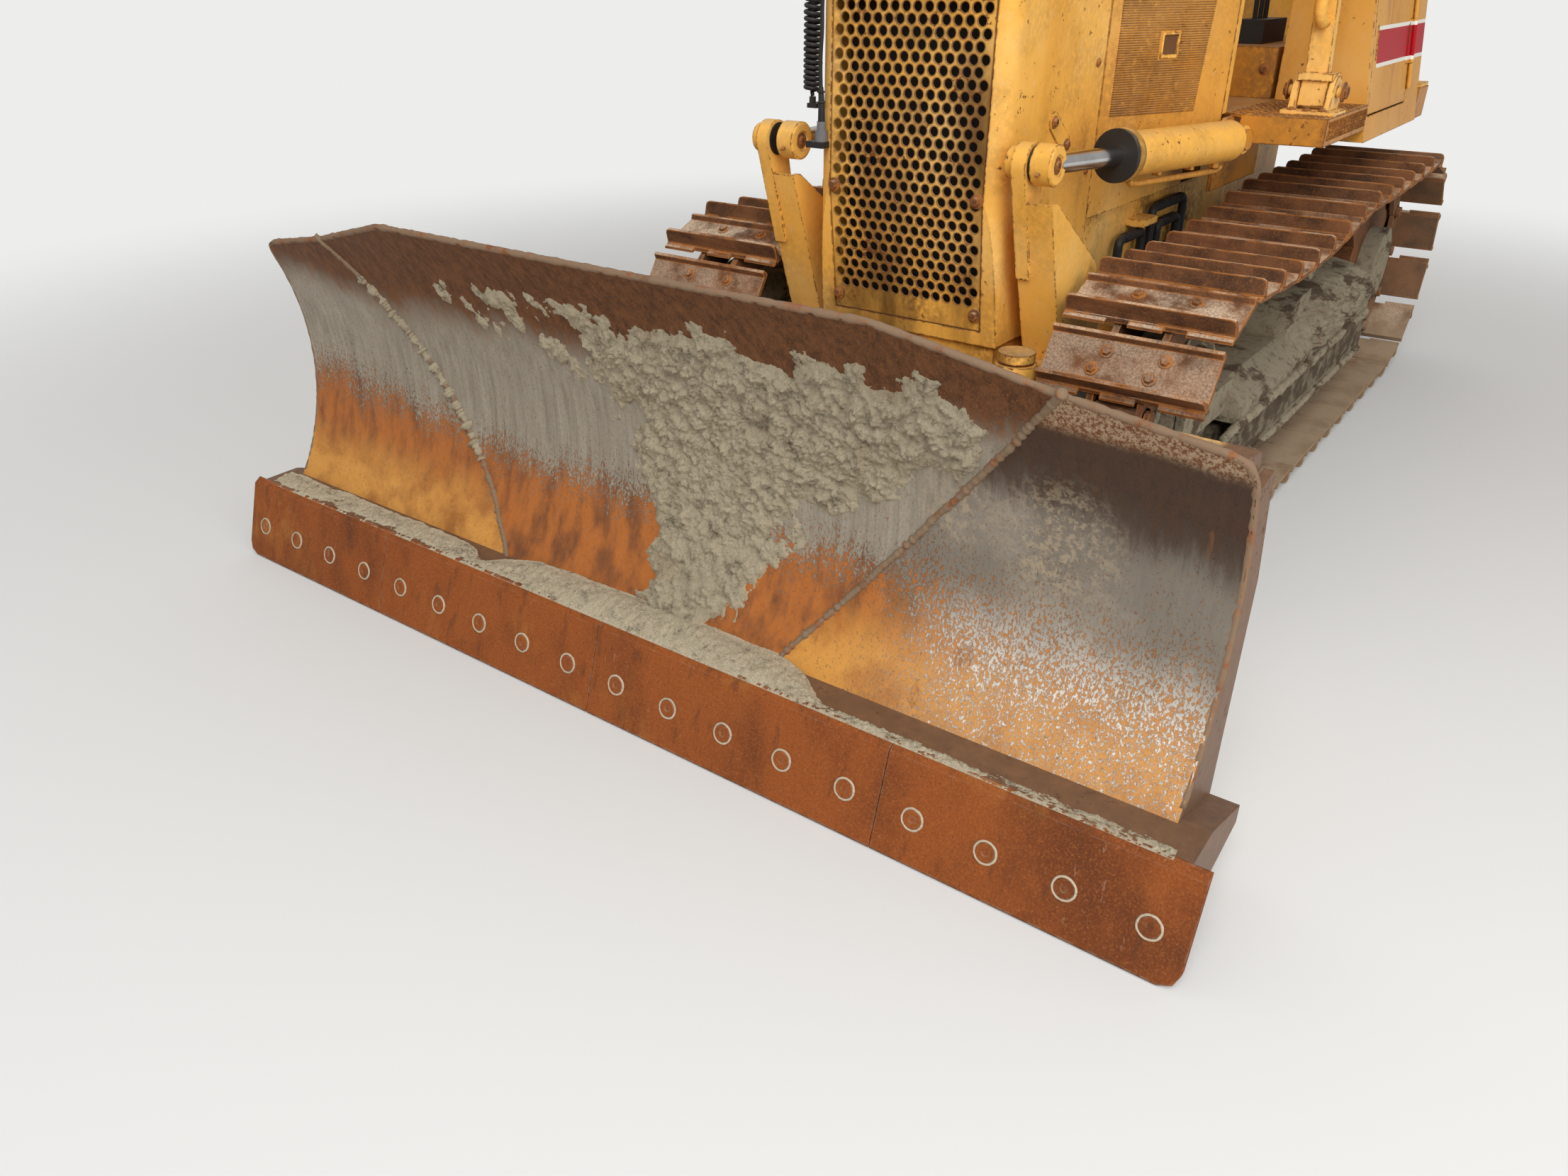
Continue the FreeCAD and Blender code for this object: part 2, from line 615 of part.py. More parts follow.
def track_path():
    """Pin line of the track as (y, z) points, running forward on top and rearward below."""
    idler = (IDLER_Y, PIN_LINE + IDLER_PITCH_R)
    sprocket = (SPROCKET_Y, PIN_LINE + SPROCKET_PITCH_R)
    idler_top = idler[1] + IDLER_PITCH_R
    sprocket_top = sprocket[1] + SPROCKET_PITCH_R
    carrier_z = idler_top + (sprocket_top - idler_top) * 0.8
    points = []
    steps = 24
    for i in range(steps):
        angle = math.pi / 2 + math.pi * i / steps
        points.append((idler[0] + IDLER_PITCH_R * math.cos(angle), idler[1] + IDLER_PITCH_R * math.sin(angle)))
    for i in range(steps):
        points.append((idler[0] + (sprocket[0] - idler[0]) * i / steps, PIN_LINE))
    for i in range(steps):
        angle = -math.pi / 2 + math.pi * i / steps
        points.append((sprocket[0] + SPROCKET_PITCH_R * math.cos(angle),
                       sprocket[1] + SPROCKET_PITCH_R * math.sin(angle)))
    spans = ((sprocket[0], sprocket_top, CARRIER_Y, carrier_z, REAR_SAG),
             (CARRIER_Y, carrier_z, idler[0], idler_top, CARRIER_SAG))
    for y0, z0, y1, z1, sag in spans:
        for i in range(steps):
            t = i / steps
            points.append((y0 + (y1 - y0) * t, z0 + (z1 - z0) * t - 4 * sag * t * (1 - t)))
    return points


def track_pins():
    """Pins at equal steps along the path, and the step."""
    path = track_path()
    loop = path + [path[0]]
    runs = [math.dist(a, b) for a, b in zip(loop, loop[1:])]
    pitch = sum(runs) / SHOES
    pins = []
    for k in range(SHOES):
        ahead = (k + SHOE_PHASE) * pitch
        for start, end, run in zip(loop, loop[1:], runs):
            if ahead <= run:
                t = ahead / run
                pins.append((start[0] + (end[0] - start[0]) * t, start[1] + (end[1] - start[1]) * t))
                break
            ahead -= run
    return pins, pitch


def offset_ring(pins, out):
    """Closed polygon through the pins, moved outward along the corners' normals."""
    ring = []
    for before, here, after in zip(pins[-1:] + pins[:-1], pins, pins[1:] + pins[:1]):
        run = (after[0] - before[0], after[1] - before[1])
        size = math.hypot(*run)
        ring.append((here[0] + run[1] / size * out, here[1] - run[0] / size * out))
    return ring


def shoe_ring(pins):
    """Outer outline of the track: each shoe's lip, plate and grouser in turn."""
    ring = []
    top = SHOE_BASE + SHOE_PLATE
    tip = top + GROUSER_TALL
    for start, end in zip(pins, pins[1:] + pins[:1]):
        run = (end[0] - start[0], end[1] - start[1])
        size = math.hypot(*run)
        along = (run[0] / size, run[1] / size)
        out = (along[1], -along[0])
        mid = ((start[0] + end[0]) / 2, (start[1] + end[1]) / 2)
        half = size / 2 - 1
        ahead = GROUSER_AHEAD
        profile = [(-half, top + SHOE_LIP), (-half + SHOE_LIP, top), (ahead - GROUSER_WIDE, top),
                   (ahead - GROUSER_WIDE / 2, tip), (ahead + GROUSER_WIDE / 2, tip),
                   (ahead + GROUSER_WIDE, top), (half, top)]
        for t, n in profile:
            ring.append((mid[0] + along[0] * t + out[0] * n, mid[1] + along[1] * t + out[1] * n))
    return ring


def track(sign):
    """Shoes as one closed band with the two rails of links inside it."""
    pins, pitch = track_pins()
    x = sign * TRACK_X
    half = SHOE_WIDE / 2
    band = slab(shoe_ring(pins), "yz", x - half, x + half)
    band = band.cut(slab(offset_ring(pins, SHOE_BASE), "yz", x - half - 1, x + half + 1))
    rails = []
    for low in (x - RAIL_GAP - RAIL_WIDE, x + RAIL_GAP):
        rail = slab(offset_ring(pins, SHOE_BASE), "yz", low, low + RAIL_WIDE)
        rails.append(rail.cut(slab(offset_ring(pins, -RAIL_IN), "yz", low - 1, low + RAIL_WIDE + 1)))
    return joined([band] + rails)


def carrier_pin_z():
    """Height of the track's pin line over the carrier roller."""
    idler_top = PIN_LINE + 2 * IDLER_PITCH_R
    return idler_top + (PIN_LINE + 2 * SPROCKET_PITCH_R - idler_top) * 0.8


def track_frame(sign):
    """Roof-shaped beam with roller guards, the idler's fork and the carrier roller's arched bracket."""
    x = sign * TRACK_X
    half = FRAME_HALF
    wall = 16
    idler_z = PIN_LINE + IDLER_PITCH_R
    front = IDLER_Y + 292
    rear = SPROCKET_Y - 360
    ridge = 70
    low = FRAME_LOW + 60
    section = [(x - half, low), (x - half, low + 50), (x - ridge, FRAME_HIGH), (x + ridge, FRAME_HIGH),
               (x + half, low + 50), (x + half, low)]
    beam = slab(section, "xz", front, rear)
    guards = [box(x + a, x + a + wall, front - 60, rear, FRAME_LOW - 105, low) for a in (-half, half - wall)]
    fork = [box(x + a, x + a + 24, IDLER_Y - 70, front + 30, idler_z - 45, idler_z + 45)
            for a in (-100, 76)]
    bridge = box(x - 100, x + 100, front - 18, front + 30, idler_z - 60, idler_z + 45)
    arch_top = carrier_pin_z() - RAIL_IN - 2 * CARRIER_R - CARRIER_DROP - 25
    arch = [(CARRIER_Y - 250, FRAME_HIGH - 40), (CARRIER_Y - 215, arch_top - 45, CARRIER_Y - 150, arch_top),
            (CARRIER_Y - 20, arch_top), (CARRIER_Y - 20, FRAME_HIGH - 40)]
    post = slab(arch, "yz", x + sign * 20 - 75, x + sign * 20 + 75)
    return joined([beam, bridge, post] + guards + fork)


def idlers():
    z = PIN_LINE + IDLER_PITCH_R
    radius = (IDLER_PITCH_R - RAIL_IN) * math.cos(math.radians(17)) - 4
    wheels = []
    for sign in (1, -1):
        x = sign * TRACK_X
        rim = bar(V(x - 72, IDLER_Y, z), V(x + 72, IDLER_Y, z), radius)
        flange = bar(V(x - RAIL_GAP + 3, IDLER_Y, z), V(x + RAIL_GAP - 3, IDLER_Y, z), radius + 18)
        wheel = joined([rim, flange])
        for a, b in ((-73, -24), (24, 73)):
            wheel = wheel.cut(tube(V(x + a, IDLER_Y, z), V(x + b, IDLER_Y, z), radius - 35, 85))
        wheels.append(wheel)
    return wheels


def sprockets():
    """Toothed wheels that mesh between the rails of links."""
    z = PIN_LINE + SPROCKET_PITCH_R
    root_r = SPROCKET_PITCH_R - RAIL_IN - 20
    tip_r = SPROCKET_PITCH_R + 18
    wheels = []
    for sign in (1, -1):
        x = sign * TRACK_X
        points = []
        for tooth in range(SPROCKET_TEETH):
            for share, radius in ((-0.28, root_r), (-0.1, tip_r), (0.1, tip_r), (0.28, root_r)):
                angle = 2 * math.pi * (tooth + share) / SPROCKET_TEETH
                points.append((SPROCKET_Y + radius * math.cos(angle), z + radius * math.sin(angle)))
        wheels.append(slab(points, "yz", x - RAIL_GAP + 4, x + RAIL_GAP - 4))
    return wheels


def track_rollers():
    """Bottom rollers between the guards and one carrier roller on each side."""
    low_z = PIN_LINE + RAIL_IN + ROLLER_R + 1
    inside = FRAME_HALF - 17
    rollers = []
    for sign in (1, -1):
        x = sign * TRACK_X
        for i in range(ROLLERS):
            y = ROLLER_FIRST + (ROLLER_LAST - ROLLER_FIRST) * i / (ROLLERS - 1)
            tread = bar(V(x - 82, y, low_z), V(x + 82, y, low_z), ROLLER_R)
            shaft = bar(V(x - inside, y, low_z), V(x + inside, y, low_z), 28)
            rollers.append(joined([tread, shaft]))
        z = carrier_pin_z() - RAIL_IN - CARRIER_R - CARRIER_DROP
        rollers.append(bar(V(x - 82, CARRIER_Y, z), V(x + 82, CARRIER_Y, z), CARRIER_R))
    return rollers


def final_drives():
    """Housings from the hull through each sprocket, with an outer cap."""
    z = PIN_LINE + SPROCKET_PITCH_R
    drives = []
    for sign in (1, -1):
        inner = sign * HULL_HALF
        face = sign * (TRACK_X - RAIL_GAP + 4)
        outer = sign * (TRACK_X + RAIL_GAP - 4)
        housing = bar(V(inner, SPROCKET_Y, z), V(face, SPROCKET_Y, z), 175)
        cap = bar(V(outer, SPROCKET_Y, z), V(sign * (TRACK_X + 100), SPROCKET_Y, z), 140)
        drives += [housing, cap]
    return drives


# Hull, engine and hood

def main_frame():
    """Side rails, belly, rear case, crossbars and the C-frame's trunnion pins."""
    rail = 30
    rails = both_sides(box(HULL_HALF - rail, HULL_HALF, HULL_FRONT, HULL_REAR, HULL_LOW, HULL_HIGH))
    belly = box(-HULL_HALF, HULL_HALF, HULL_FRONT, HULL_REAR, HULL_LOW, HULL_LOW + 12)
    case = box(-HULL_HALF, HULL_HALF, CASE_FRONT, HULL_REAR, HULL_LOW, CASE_TOP)
    nose = box(-HULL_HALF, HULL_HALF, HULL_FRONT, HULL_FRONT + 25, HULL_LOW, GUARD_LOW)
    pins = both_sides(bar(V(HULL_HALF - rail, TRUNNION_Y, TRUNNION_Z),
                          V(ARM_INNER + ARM_WIDE + 12, TRUNNION_Y, TRUNNION_Z), TRUNNION_R))
    collars = [bar(V(s * HULL_HALF, TRUNNION_Y, TRUNNION_Z),
                   V(s * (ARM_INNER - 6), TRUNNION_Y, TRUNNION_Z), COLLAR_R) for s in (1, -1)]
    inner_guide = TRACK_X - FRAME_HALF
    bar_z = FRAME_LOW - 10
    equalizer = box(-inner_guide, inner_guide, EQUALIZER_Y, EQUALIZER_Y + 90, bar_z, bar_z + 70)
    saddle = box(-150, 150, EQUALIZER_Y - 10, EQUALIZER_Y + 100, bar_z + 70, HULL_LOW)
    pivot_z = HULL_LOW + 40
    pivot = bar(V(-inner_guide, FRAME_PIVOT_Y, pivot_z), V(inner_guide, FRAME_PIVOT_Y, pivot_z), 45)
    return joined(rails + pins + [belly, case, nose, equalizer, saddle, pivot] + collars)


def engine_block():
    """Engine with its gearbox under the floor, on two feet between the hull's rails."""
    low = HULL_LOW + 60
    block = box(-ENGINE_HALF, ENGINE_HALF, ENGINE_FRONT, ENGINE_REAR, low, HOOD_TOP - 180)
    gearbox = box(-150, 150, ENGINE_REAR, CASE_FRONT, low, FLOOR_Z - 100)
    inner = HULL_HALF - 30
    feet = [box(-inner, inner, y, y + 60, low + 60, low + 100) for y in (ENGINE_FRONT + 80, ENGINE_REAR + 400)]
    return joined([block, gearbox] + feet)


def radiator_core():
    front = GUARD_FRONT + 90
    return box(-GRILLE_HALF, GRILLE_HALF, front, front + 85, GUARD_LOW + 45, GRILLE_HIGH - 10)


def guard_side(inset):
    """Side view of the radiator guard, with its front face kinked below the middle bolts."""
    front = GUARD_FRONT + inset
    low = GUARD_LOW
    slant = (GUARD_KINK_Z - low) * GUARD_SLANT
    return [(front + slant, low), (front, GUARD_KINK_Z), (front, HOOD_TOP - inset - 30),
            (front + 9, HOOD_TOP - inset - 9, front + 30, HOOD_TOP - inset),
            (GUARD_REAR, HOOD_TOP - inset), (GUARD_REAR, low)]


def radiator_guard():
    """Shell round the radiator, open behind and below, with the grille's opening in front."""
    shell = None
    for inset in (0, SHEET):
        half = GUARD_HALF - inset
        block = slab(guard_side(inset), "yz", -half, half)
        curve = rounded(half, GUARD_FRONT + inset - 1, GUARD_REAR, GUARD_ROUND, GUARD_LOW, HOOD_TOP)
        slanted = rounded(half, GUARD_FRONT + inset, GUARD_REAR + 200, GUARD_ROUND, GUARD_LOW, HOOD_TOP)
        block = block.common(curve).common(slanted)
        shell = block if shell is None else shell.cut(block)
    gap = 2
    window = box(-GRILLE_HALF - gap, GRILLE_HALF + gap, GUARD_FRONT - 10, GUARD_FRONT + 80,
                 GRILLE_LOW - gap, GRILLE_HIGH + gap)
    rear = box(-GUARD_HALF + SHEET, GUARD_HALF - SHEET, GUARD_REAR - 20, GUARD_REAR + 1,
               GUARD_LOW - 1, HOOD_TOP - SHEET)
    return shell.cut(window).cut(rear)


def perforated(width, height, first_row, rows):
    """Flat panel in X and Z with staggered round holes, its thickness along Y."""
    wires = [outline([(-width / 2, 0), (width / 2, 0), (width / 2, height), (-width / 2, height)], "xz")]
    step = GRILLE_PITCH * math.sqrt(3) / 2
    across = int((width - 2 * GRILLE_HOLE_R - 12) / GRILLE_PITCH)
    for row in range(rows):
        z = first_row + row * step
        count = across + row % 2
        for i in range(count):
            x = (i - (count - 1) / 2) * GRILLE_PITCH
            wires.append(Part.Wire(Part.makeCircle(GRILLE_HOLE_R, V(x, 0, z), V(0, 1, 0))))
    return Part.Face(wires, "Part::FaceMakerBullseye").extrude(V(0, GRILLE_THICK, 0))


def front_grille():
    """Upper upright panel and lower slanted panel, meeting at the kink."""
    step = GRILLE_PITCH * math.sqrt(3) / 2
    upper_tall = GRILLE_HIGH - GUARD_KINK_Z
    lower_tall = (GUARD_KINK_Z - GRILLE_LOW) * math.hypot(1, GUARD_SLANT)
    width = 2 * GRILLE_HALF
    lower_rows = int((lower_tall - 50) / step)
    upper_rows = int((upper_tall - 40) / step)
    lower = perforated(width, lower_tall, lower_tall - step / 2 - (lower_rows - 1) * step, lower_rows)
    lower.rotate(V(0, 0, 0), V(1, 0, 0), math.degrees(math.atan(GUARD_SLANT)))
    lower.translate(V(0, GUARD_FRONT + 1 + (GUARD_KINK_Z - GRILLE_LOW) * GUARD_SLANT, GRILLE_LOW))
    upper = perforated(width, upper_tall, step / 2, upper_rows)
    upper.translate(V(0, GUARD_FRONT + 1, GUARD_KINK_Z + 0.5))
    return [lower, upper]


def flare_x(y):
    """Half width of the engine's side panels, which open towards the operator."""
    return GUARD_HALF + (y - GUARD_REAR) * math.tan(math.radians(PANEL_FLARE_DEG))


def engine_panel():
    """Left flared side panel with its square latch recess."""
    front = GUARD_REAR + 4
    rear = PANEL_REAR
    points = [(flare_x(front) - PANEL_THICK, front), (flare_x(front), front), (flare_x(rear), rear),
              (flare_x(rear) - PANEL_THICK, rear)]
    panel = slab(points, "xy", PANEL_LOW, HOOD_TOP - 40)
    shelf = [(GUARD_HALF - PANEL_THICK, front), (flare_x(front), front), (flare_x(rear), rear),
             (GUARD_HALF - PANEL_THICK, rear)]
    return joined([panel, slab(shelf, "xy", PANEL_LOW, PANEL_LOW + 8)])


def hood_top():
    """Top sheet from the guard to the cowl, and the lower side sheets on the hull's rails."""
    front = GUARD_REAR + 4
    half_front = flare_x(front)
    half_rear = flare_x(PANEL_REAR)
    top = [(-half_front, front), (half_front, front), (half_rear, PANEL_REAR), (-half_rear, PANEL_REAR)]
    lid = slab(top, "xy", HOOD_TOP - 38, HOOD_TOP)
    inner = [(-half_front + 14, front - 1), (half_front - 14, front - 1), (half_rear - 14, PANEL_REAR + 1),
             (-half_rear + 14, PANEL_REAR + 1)]
    lid = lid.cut(slab(inner, "xy", HOOD_TOP - 50, HOOD_TOP - SHEET))
    skirts = both_sides(box(GUARD_HALF - SHEET, GUARD_HALF, front, DECK_FRONT + 300, HULL_HIGH + 2, PANEL_LOW - 2))
    return [lid] + skirts


def dash_cowl():
    """Wall behind the engine with the sloping instrument panel on it."""
    half = flare_x(PANEL_REAR)
    y0 = PANEL_REAR + 2
    wall = box(-half, half, y0, y0 + COWL_THICK, FLOOR_Z, COWL_TOP)
    dash = [(y0 + COWL_THICK, COWL_TOP - 290), (y0 + COWL_THICK, COWL_TOP), (y0, COWL_TOP), (y0, COWL_TOP + 30),
            (y0 + 60, COWL_TOP + 30), (y0 + 190, COWL_TOP - 140), (y0 + 170, COWL_TOP - 180)]
    return joined([wall, slab(dash, "yz", -300, 300)])


def hood_stacks():
    """Exhaust with its rain elbow, and the air cleaner's bowl, on the hood."""
    foot = V(-STACK_X, GUARD_REAR + 150, HOOD_TOP)
    exhaust = bar(foot, foot + V(0, 0, STACK_TALL), 38)
    flange = bar(foot, foot + V(0, 0, 14), 70)
    elbow = bar(foot + V(0, 0, STACK_TALL - 20), foot + V(0, 120, STACK_TALL + 40), 37)
    foot = V(STACK_X, GUARD_REAR + 230, HOOD_TOP)
    pipe = bar(foot, foot + V(0, 0, 230), 42)
    bowl = bar(foot + V(0, 0, 200), foot + V(0, 0, 330), 95)
    cap = bar(foot + V(0, 0, 330), foot + V(0, 0, 355), 70)
    return [joined([exhaust, flange, elbow]), joined([pipe, bowl, cap])]


# Operator's platform

def platform():
    """Floor of tread plate with skirts and beams, the rear cross beam and the lift cylinders' brackets."""
    under = FLOOR_Z - FLOOR_THICK
    skirt_low = FLOOR_Z - DECK_SKIRT
    notch_x = flare_x(PANEL_REAR) - 37
    cowl = PANEL_REAR + 2
    front = [(notch_x, cowl), (notch_x, cowl + 73), (DECK_NOTCH_X, DECK_NOTCH), (DECK_HALF, DECK_FRONT),
             (DECK_HALF, BOX_FRONT)]
    floor = slab(front + [(-x, y) for x, y in reversed(front)], "xy", under, FLOOR_Z)
    middle = box(-BOX_INNER, BOX_INNER, BOX_FRONT, BOX_REAR, under, FLOOR_Z)
    skirts = both_sides(box(DECK_HALF - SHEET, DECK_HALF, DECK_FRONT, BOX_FRONT, skirt_low, FLOOR_Z))
    beam = [(DECK_NOTCH_X, DECK_NOTCH), (DECK_HALF, DECK_FRONT), (DECK_HALF, DECK_FRONT + SHEET),
            (DECK_NOTCH_X, DECK_NOTCH + SHEET)]
    beams = both_sides(slab(beam, "xy", skirt_low, FLOOR_Z))
    bearers = both_sides(box(HULL_HALF - 75, HULL_HALF, CASE_FRONT, BOX_REAR, CASE_TOP, under))
    outriggers = both_sides(box(BOX_INNER, DECK_HALF, BOX_REAR + 4, BOX_REAR + 170, BOX_LOW, under))
    cross = box(-DECK_HALF, DECK_HALF, BOX_REAR + 4, BOX_REAR + 60, BOX_LOW, under)
    links = both_sides(box(BOX_INNER - 60, BOX_INNER, CASE_FRONT, BOX_REAR + 60, BOX_LOW, under))
    mud_x = BOX_INNER - 40
    mud = both_sides(box(mud_x, mud_x + 12, DECK_NOTCH + 81, CASE_FRONT, HULL_HIGH + 25, under))
    brackets = [lift_bracket("left"), lift_bracket("right")]
    return joined([floor, middle, cross] + skirts + beams + bearers + outriggers + links + mud + brackets)


def seat_riser():
    wall = box(-BOX_INNER + 16, BOX_INNER - 16, BOX_FRONT + 4, RISER_REAR, FLOOR_Z, RISER_HIGH)
    half = SEAT_HALF - 70
    pedestal = box(-half, half, SEAT_FRONT + 80, SEAT_REAR - 70, RISER_HIGH, SEAT_LOW)
    return joined([wall, pedestal])


def seat_cushion():
    block = box(-SEAT_HALF, SEAT_HALF, SEAT_FRONT, SEAT_REAR, SEAT_LOW, SEAT_LOW + SEAT_THICK)
    return block.makeFillet(28, block.Edges)


def seat_back():
    low = SEAT_LOW + SEAT_THICK + 12
    side = [(SEAT_REAR - 40, low), (SEAT_REAR + 50, BACKREST_TOP), (SEAT_REAR + 50 + BACKREST_THICK, BACKREST_TOP),
            (SEAT_REAR - 40 + BACKREST_THICK, low)]
    block = slab(side, "yz", -SEAT_HALF, SEAT_HALF)
    return block.makeFillet(28, block.Edges)


def control_levers():
    """Console with short levers on each side of the seat, and the two pedals."""
    parts = []
    for sign in (1, -1):
        x = sign * (SEAT_HALF + 90)
        console = box(x - 45, x + 45, SEAT_FRONT + 80, SEAT_FRONT + 340, RISER_HIGH, RISER_HIGH + 75)
        levers = []
        for behind, tall in ((110, 150), (170, 170), (230, 150)):
            foot = V(x, SEAT_FRONT + behind, RISER_HIGH + 60)
            top = foot + V(0, -20, tall)
            levers += [bar(foot, top, 8), bar(top - V(0, 0, 12), top + V(0, -3, 28), 17)]
        parts.append(joined([console] + levers))
    cowl_rear = PANEL_REAR + 2 + COWL_THICK
    reach = (BOX_FRONT - cowl_rear) * PEDAL_SHARE
    for x in (-170, 170):
        arm = box(x - 10, x + 10, cowl_rear, cowl_rear + reach, FLOOR_Z + 90, FLOOR_Z + 105)
        face = cowl_rear + reach * 0.875
        pad = box(x - 50, x + 50, face, face + 13, FLOOR_Z + 60, FLOOR_Z + 160)
        parts.append(joined([arm, pad]))
    return parts


def box_face_x(z):
    """X of the side box's outer face, which leans in towards its top."""
    return BOX_FOOT_X - (z - BOX_LOW) * BOX_LEAN


def box_section(low, high, inner, inset):
    return [(inner, low), (box_face_x(low) - inset, low), (box_face_x(high) - inset, high), (inner, high)]


def on_box_face(z, out, y):
    return V(box_face_x(z) + out, y, z)


def hinge_parts(low, high, leaf_y):
    """Knuckle on the door's axis from one height to another, with its leaf on the box's face."""
    y = DOOR_REAR + HINGE_BACK
    knuckle = bar(on_box_face(low, HINGE_OUT, y), on_box_face(high, HINGE_OUT, y), KNUCKLE_R)
    section = [(box_face_x(low), low), (box_face_x(low) + 4, low), (box_face_x(high) + 4, high),
               (box_face_x(high), high)]
    return [knuckle, slab(section, "xz", min(y, leaf_y), max(y, leaf_y))]


def side_box():
    """Left hollow side box beside the seat, with its door's opening and its half of the hinge."""
    wall = BOX_WALL
    gap = DOOR_GAP
    shell = slab(box_section(BOX_LOW, BOX_HIGH, BOX_INNER, 0), "xz", BOX_FRONT, BOX_REAR)
    inside = slab(box_section(BOX_LOW + wall, BOX_HIGH - wall, BOX_INNER + wall, wall), "xz",
                  BOX_FRONT + wall, BOX_REAR - wall)
    opening = box(box_face_x(DOOR_HIGH) - 2 * wall, BOX_FOOT_X + 1, DOOR_FRONT - gap, DOOR_REAR + 2 * gap,
                  DOOR_LOW - gap, DOOR_HIGH + gap)
    hinge = hinge_parts(DOOR_LOW + 40, HINGE_LOW - 1, DOOR_REAR + 45)
    hinge += hinge_parts(HINGE_HIGH + 1, DOOR_HIGH - 40, DOOR_REAR + 45)
    return joined([shell.cut(inside).cut(opening)] + hinge)


def box_door():
    """Left box's door, closed in its opening and hinged along its rear edge."""
    low = DOOR_LOW
    high = DOOR_HIGH
    section = [(box_face_x(low) - BOX_WALL, low), (box_face_x(low), low), (box_face_x(high), high),
               (box_face_x(high) - BOX_WALL, high)]
    panel = slab(section, "xz", DOOR_FRONT, DOOR_REAR)
    slot = box(box_face_x(high) - BOX_WALL, BOX_FOOT_X, DOOR_FRONT + 28, DOOR_FRONT + 50,
               DOOR_HIGH - 230, DOOR_HIGH - 130)
    return joined([panel.cut(slot)] + hinge_parts(HINGE_LOW, HINGE_HIGH, DOOR_REAR - 45))


def fuel_tank():
    half = BOX_INNER - 10
    block = box(-half, half, BOX_REAR + 60, TANK_REAR, TANK_LOW, BOX_HIGH)
    edges = [e for e in block.Edges if abs(e.BoundBox.YMax - TANK_REAR) < 1 and e.BoundBox.YLength < 1]
    tank = block.makeFillet(TANK_ROUND, edges)
    filler_foot = V(-half + 230, BOX_REAR + 210, BOX_HIGH - 2)
    filler = bar(filler_foot, filler_foot + V(0, 0, 47), 60)
    return joined([tank, filler])


def post_x(z):
    """Middle of a post at a height: the posts lean in towards the roof."""
    return POST_FOOT_X - (z - FLOOR_Z) * POST_LEAN


def post_shaft(y, low):
    half = POST_WIDE / 2
    section = [(post_x(low) - half, low), (post_x(low) + half, low), (post_x(ROOF_LOW) + half, ROOF_LOW),
               (post_x(ROOF_LOW) - half, ROOF_LOW)]
    return slab(section, "xz", y - POST_DEEP / 2, y + POST_DEEP / 2)


def rops_posts():
    """Four posts: the front pair in forked feet on the deck, the rear pair on the outriggers."""
    y = POST_FRONT_Y
    base_top = FLOOR_Z + 12
    eye_z = FLOOR_Z + 62
    x = post_x(eye_z)
    shoe_half = POST_WIDE / 2 + 6
    ear_inner = shoe_half + EAR_GAP
    ear_outer = ear_inner + EAR_THICK
    shoe = box(x - shoe_half, x + shoe_half, y - 34, y + 34, base_top + 10, FLOOR_Z + 92)
    collar = box(x - shoe_half - 12, x + shoe_half + 12, y - 44, y + 44, FLOOR_Z + 92, FLOOR_Z + 112)
    base = box(x - ear_outer - 14, DECK_HALF - 2, y - 75, y + 60, FLOOR_Z, base_top)
    ear = [(y - 52, base_top), (y - 44, eye_z), (y, eye_z + 44, y + 44, eye_z), (y + 52, base_top)]
    ears = [slab(ear, "yz", x + a, x + a + EAR_THICK) for a in (-ear_outer, ear_inner)]
    bolt = bar(V(x - ear_outer - 18, y, eye_z), V(x + ear_outer + 18, y, eye_z), 15)
    front = joined([post_shaft(y, FLOOR_Z + 100), shoe, collar, base, bolt] + ears)
    y = POST_REAR_Y
    base = box(post_x(FLOOR_Z) - POST_WIDE, DECK_HALF - 2, y - 70, y + 70, FLOOR_Z - FLOOR_THICK, FLOOR_Z + 6)
    rear = joined([post_shaft(y, FLOOR_Z), base])
    return both_sides(front) + both_sides(rear)


def rops_roof():
    points = [(-ROOF_HALF, ROOF_FRONT), (ROOF_HALF, ROOF_FRONT), (ROOF_HALF, ROOF_REAR), (-ROOF_HALF, ROOF_REAR)]
    block = slab(points, "xy", ROOF_LOW, ROOF_LOW + ROOF_THICK)
    upright = [e for e in block.Edges if e.BoundBox.ZLength > ROOF_THICK / 2]
    block = block.makeFillet(60, upright)
    inner = box(-ROOF_HALF + 12, ROOF_HALF - 12, ROOF_FRONT + 12, ROOF_REAR - 12, ROOF_LOW - 1,
                ROOF_LOW + ROOF_THICK - 12)
    upright = [e for e in inner.Edges if e.BoundBox.ZLength > ROOF_THICK / 2]
    hollow = block.cut(inner.makeFillet(48, upright))
    pads = []
    half = POST_WIDE / 2 + 10
    deep = POST_DEEP / 2 + 10
    for x in (post_x(ROOF_LOW), -post_x(ROOF_LOW)):
        for y in (POST_FRONT_Y, POST_REAR_Y):
            pads.append(box(x - half, x + half, y - deep, y + deep, ROOF_LOW, ROOF_LOW + ROOF_THICK - 10))
    return joined([hollow] + pads)


def handrails():
    """A curved rail on the front face of each front post."""
    y = POST_FRONT_Y - POST_DEEP / 2
    low = RAIL_LOW
    high = RAIL_HIGH
    points = [V(post_x(low), y, low), V(post_x(low), y - RAIL_STAND, low), V(post_x(high), y - RAIL_STAND, high),
              V(post_x(high), y, high)]
    return both_sides(bent_pipe(points, RAIL_R, RAIL_STAND * 0.7))


